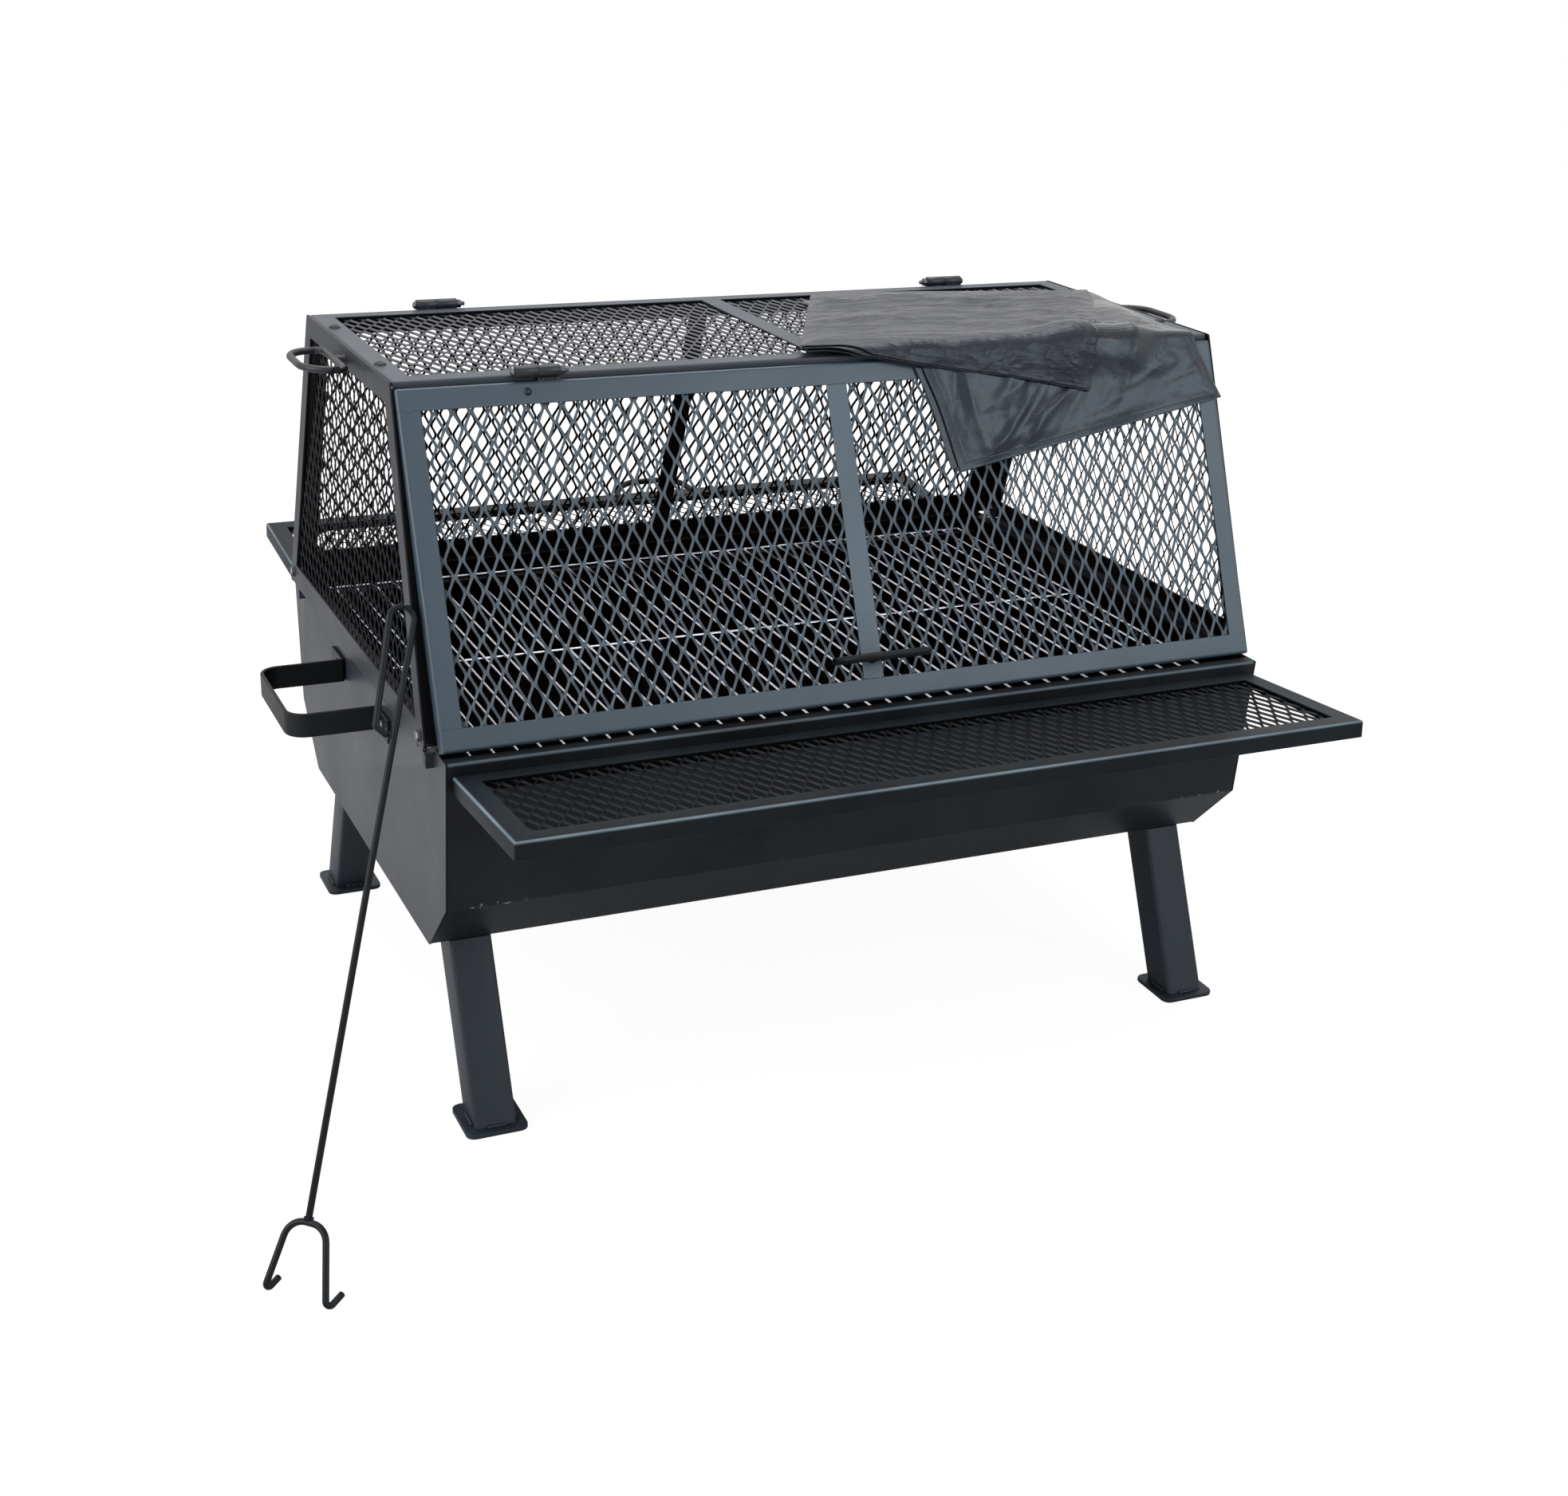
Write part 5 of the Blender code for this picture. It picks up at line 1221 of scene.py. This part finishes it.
def combed(x, s):
    """Long level wrinkles along the packet's length, in shallow facets."""
    swell = 0.0008 * np.sin(s * 55 + x * 9) + 0.0006 * np.sin(x * 24 - s * 20 + 1.0)
    long = creases(x, s, 21, 36, ((-0.02, 0.34), (0.02, 0.27)), -0.10, (0.03, 0.12), (0.0008, 0.0024),
                   (0.0015, 0.0045))
    facets = crumple(x, s, 22, 0.024, -0.08, 3.4, 0.0036) + crumple(x, s, 23, 0.009, 0.1, 2.6, 0.0006)
    return 0.0002 + swell + long + facets


def pressed(x, s):
    return 0.0003 + 0.0004 * np.sin(x * 60 + s * 33)


def spaced_finely(length, step):
    """Shares from 0 to 1 a step apart, with extra ones close to both ends for a rounded edge."""
    near = np.array((0.0002, 0.0007, 0.0015, 0.003, 0.0085, HEM)) / length
    inner = np.linspace(0, 1, max(int(length / step), 8))
    return np.unique(np.round(np.concatenate((inner, near, 1 - near)), 6))


def along_line(corners, share):
    """Points at given shares of a smoothed polyline's length."""
    corners = np.array(corners, float)
    at = np.concatenate(([0], np.cumsum(np.linalg.norm(np.diff(corners, axis=0), axis=1))))
    fine = np.linspace(0, 1, 200)
    line = np.column_stack([np.interp(fine, at / at[-1], corners[:, axis]) for axis in (0, 1)])
    pad = np.pad(line, ((12, 12), (0, 0)), mode="reflect", reflect_type="odd")
    line = [np.convolve(pad[:, axis], np.ones(25) / 25, mode="valid") for axis in (0, 1)]
    return np.column_stack([np.interp(share, fine, way) for way in line])


def both_sides(grid):
    """A grid for the cloth's outer face and, read backwards, for its inner face between the edges."""
    return np.concatenate((grid, grid[:, ::-1][:, 1:-1]), 1)


def cover_layer(name, low, high, thickness, lift, seed, fold, hem, step=0.005, material=SHEET_CLOTH, bow=0.0):
    """One folded thickness of cloth between two edge lines, as a closed sheet with rounded edges.

    Points run from the low line to the high one, and near the last end x is drawn back by bow * a bell in s.
    lift raises the layer, fold adds its creases and the hem is a strip along the edges, a little thicker.
    """
    low_points, high_points = np.array(low), np.array(high)
    length = np.linalg.norm(np.diff(low_points, axis=0), axis=1).sum()
    depth = np.linalg.norm(high_points.mean(0) - low_points.mean(0))
    u, v = spaced_finely(length, step), spaced_finely(depth, step)
    first, last = along_line(low, u), along_line(high, u)
    wobble = np.random.default_rng(seed).normal(0, 1, (4, 5))
    waves = np.arange(1, 6)
    sway = np.sin(u[:, None] * waves * math.pi * 1.7 + wobble[0]) @ (wobble[1] / waves)
    first[:, 1] += sway * 0.0004 * np.sin(u * math.pi)
    flat = first[:, None] * (1 - v)[None, :, None] + last[:, None] * v[None, :, None]
    flat[..., 0] -= bow * np.exp(-(flat[..., 1] / 0.045) ** 2) * (u ** 4)[:, None]
    x, s = flat[..., 0], flat[..., 1]
    edge = np.minimum(np.minimum(u, 1 - u)[:, None] * length, np.minimum(v, 1 - v)[None] * depth)
    rise = fold(x, s) * np.clip(edge / 0.018, 0.12, 1)
    strip = np.clip((HEM - edge) / 0.0007, 0, 1) * hem
    roll = np.sqrt(np.clip(1 - (1 - np.clip(edge / (thickness / 2 + 0.0003), 0, 1)) ** 2, 0, 1))
    y, z, out_y, out_z = cover_line(x, s, lift + np.maximum(rise, -0.0008) + thickness / 2)
    half = (thickness + strip) / 2 * roll
    outer, inner = (np.stack((x, y + way * out_y * half, z + way * out_z * half), -1) for way in (1, -1))
    rows = np.concatenate((outer, inner[:, ::-1][:, 1:-1]), 1)
    count, columns = rows.shape[1], len(v)
    faces = grid_faces(len(u), count)
    for row in (0, (len(u) - 1) * count):
        faces += [(row + i, row + i + 1, row + (2 * columns - 3 - i) % count, row + (2 * columns - 2 - i) % count)
                  for i in range(columns - 1)]
    data = bpy.data.meshes.new(name)
    data.from_pydata((rows.reshape(-1, 3) + PIT).tolist(), [], faces)
    loops = np.zeros(len(data.loops), int)
    data.loops.foreach_get("vertex_index", loops)
    plan = both_sides(flat).reshape(-1, 2)[loops]
    data.uv_layers.new(name="cloth").data.foreach_set("uv", plan.astype(np.float32).ravel())
    marked(data, edge=both_sides(edge))
    data.shade_smooth()
    data.materials.append(material)
    made = weld(new_object(name, data), 0.00001)
    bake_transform(made)
    return made


def build_cover():
    """A broad lower fold over the hood and the door, the layer under it, and a packet of four folds on it."""
    def moved(line, x_by, s_by):
        return [(x + x_by, s + s_by) for x, s in line]

    under = moved(COVER_LOWER_LEFT, -0.009, 0.004), moved(COVER_LOWER_RIGHT, -0.004, 0.004)
    cover_layer("cover_under", *under, 0.0009, 0.0, 3, pressed, 0.0)
    cover_layer("cover_lower", COVER_LOWER_LEFT, COVER_LOWER_RIGHT, 0.0012, 0.0014, 4, slack, 0.0003, 0.0028)
    packet = ((0.0040, 0.006, -0.0035, pressed, 0.006), (0.0056, 0.001, 0.0010, pressed, 0.006),
              (0.0072, 0.003, -0.0022, pressed, 0.006), (0.0088, 0.0, 0.0, combed, 0.0028))
    for index, (height, x_by, s_by, fold, step) in enumerate(packet):
        front, rear = moved(COVER_UPPER_FRONT, x_by, s_by), moved(COVER_UPPER_REAR, x_by / 2, -abs(s_by))
        made = cover_layer("cover_fold_%d" % (index + 1), front, rear, 0.0011, height, 11 + index, fold, 0.0003,
                           step, PACKET_CLOTH, 0.018)
    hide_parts("cover")


for build in (build_bowl, build_legs, build_doors, build_top, build_ends, build_shelves, build_side_handles,
              build_hinges, build_bolts, build_grate, build_poker, build_cover):
    build()


# Floor, light and camera


def mixed_surface(tree, kind, share, first, second):
    """The tree's output: the first shader and, by the share, the second."""
    mix = add(tree, "ShaderNodeMixShader")
    for entry, value in zip(mix.inputs, (share, out(first), out(second))):
        feed(entry, value)
    add(tree, kind, Surface=out(mix))


def seen_straight(tree, *ways):
    """1 for camera rays and for rays of the other named ways."""
    path = add(tree, "ShaderNodeLightPath")
    seen = out(path, "Is Camera Ray")
    for way in ways:
        seen = seen.most(out(path, "Is %s Ray" % way))
    return seen


def build_floor():
    """A pale floor: white to the camera and to glass, with a share of its own shade kept near the pit."""
    half = 6.0
    material = bpy.data.materials.new("pale floor")
    tree = cleared(material)
    plain = add(tree, "ShaderNodeBsdfDiffuse", Color=(0.80, 0.80, 0.80, 1))
    glow = add(tree, "ShaderNodeEmission", Color=(1, 1, 1, 1), Strength=1.12)
    away = out(add(tree, "ShaderNodeVectorMath", operation="LENGTH", Vector=object_point(tree)), "Value")
    share = seen_straight(tree, "Transmission") * (1.0 - away.mapped(0.7, 1.5, 0.16, 0.0))
    mixed_surface(tree, "ShaderNodeOutputMaterial", share, plain, glow)
    data = bpy.data.meshes.new("floor")
    data.from_pydata([(x, y, 0) for x, y in outline(half, -half, half)], [], [(0, 1, 2, 3)])
    data.materials.append(material)
    floor = new_object("floor", data)
    floor.location = (0, 0, -0.0005)


def build_world():
    world = bpy.data.worlds.new("studio")
    bpy.context.scene.world = world
    tree = cleared(world)
    soft = add(tree, "ShaderNodeBackground", Color=(0.93, 0.96, 1.0, 1), Strength=0.42)
    white = add(tree, "ShaderNodeBackground", Color=(1, 1, 1, 1), Strength=1.0)
    mixed_surface(tree, "ShaderNodeOutputWorld", seen_straight(tree, "Transmission", "Glossy"), soft, white)


def lamp(name, at, target, size, watts, colour=(1, 1, 1)):
    """A soft square lamp that looks at a point."""
    data = bpy.data.lights.new(name, "AREA")
    data.shape = "RECTANGLE"
    data.size, data.size_y = size
    data.energy = watts
    data.color = colour
    made = new_object(name, data)
    made.location = at
    made.rotation_euler = (Vector(target) - Vector(at)).to_track_quat("-Z", "Y").to_euler()


def build_camera():
    """The photograph's view: its place, turn, dip and roll were fitted to the pit's corners."""
    yaw, dip, roll = math.radians(24.46), math.radians(-21.6), math.radians(1.9)
    ahead = Vector((math.sin(yaw) * math.cos(dip), math.cos(yaw) * math.cos(dip), math.sin(dip)))
    right = Vector((math.cos(yaw), -math.sin(yaw), 0))
    up = right.cross(ahead)
    across = right * math.cos(roll) + up * math.sin(roll)
    over = up * math.cos(roll) - right * math.sin(roll)
    place = Matrix((across, over, -ahead)).transposed().to_4x4()
    place.translation = Vector((-0.95738, -2.19669, 1.19065)) + Vector(PIT)
    data = bpy.data.cameras.new("camera")
    data.sensor_width = 36
    data.lens = 50.41
    data.clip_start = 0.05
    camera = new_object("camera", data)
    camera.matrix_world = place
    bpy.context.scene.camera = camera


build_floor()
build_world()
lamp("left window", (-3.2, -0.6, 1.7), (0, 0, 0.4), (2.2, 2.2), 60)
lamp("overhead", (0.2, 0.8, 3.2), (0, 0, 0.5), (2.8, 2.2), 55)
lamp("right front", (2.25, -3.1, 2.3), (0.1, 0, 0.45), (1.9, 1.6), 38, (0.84, 0.93, 1.0))
build_camera()
bpy.context.scene.view_settings.view_transform = "Standard"
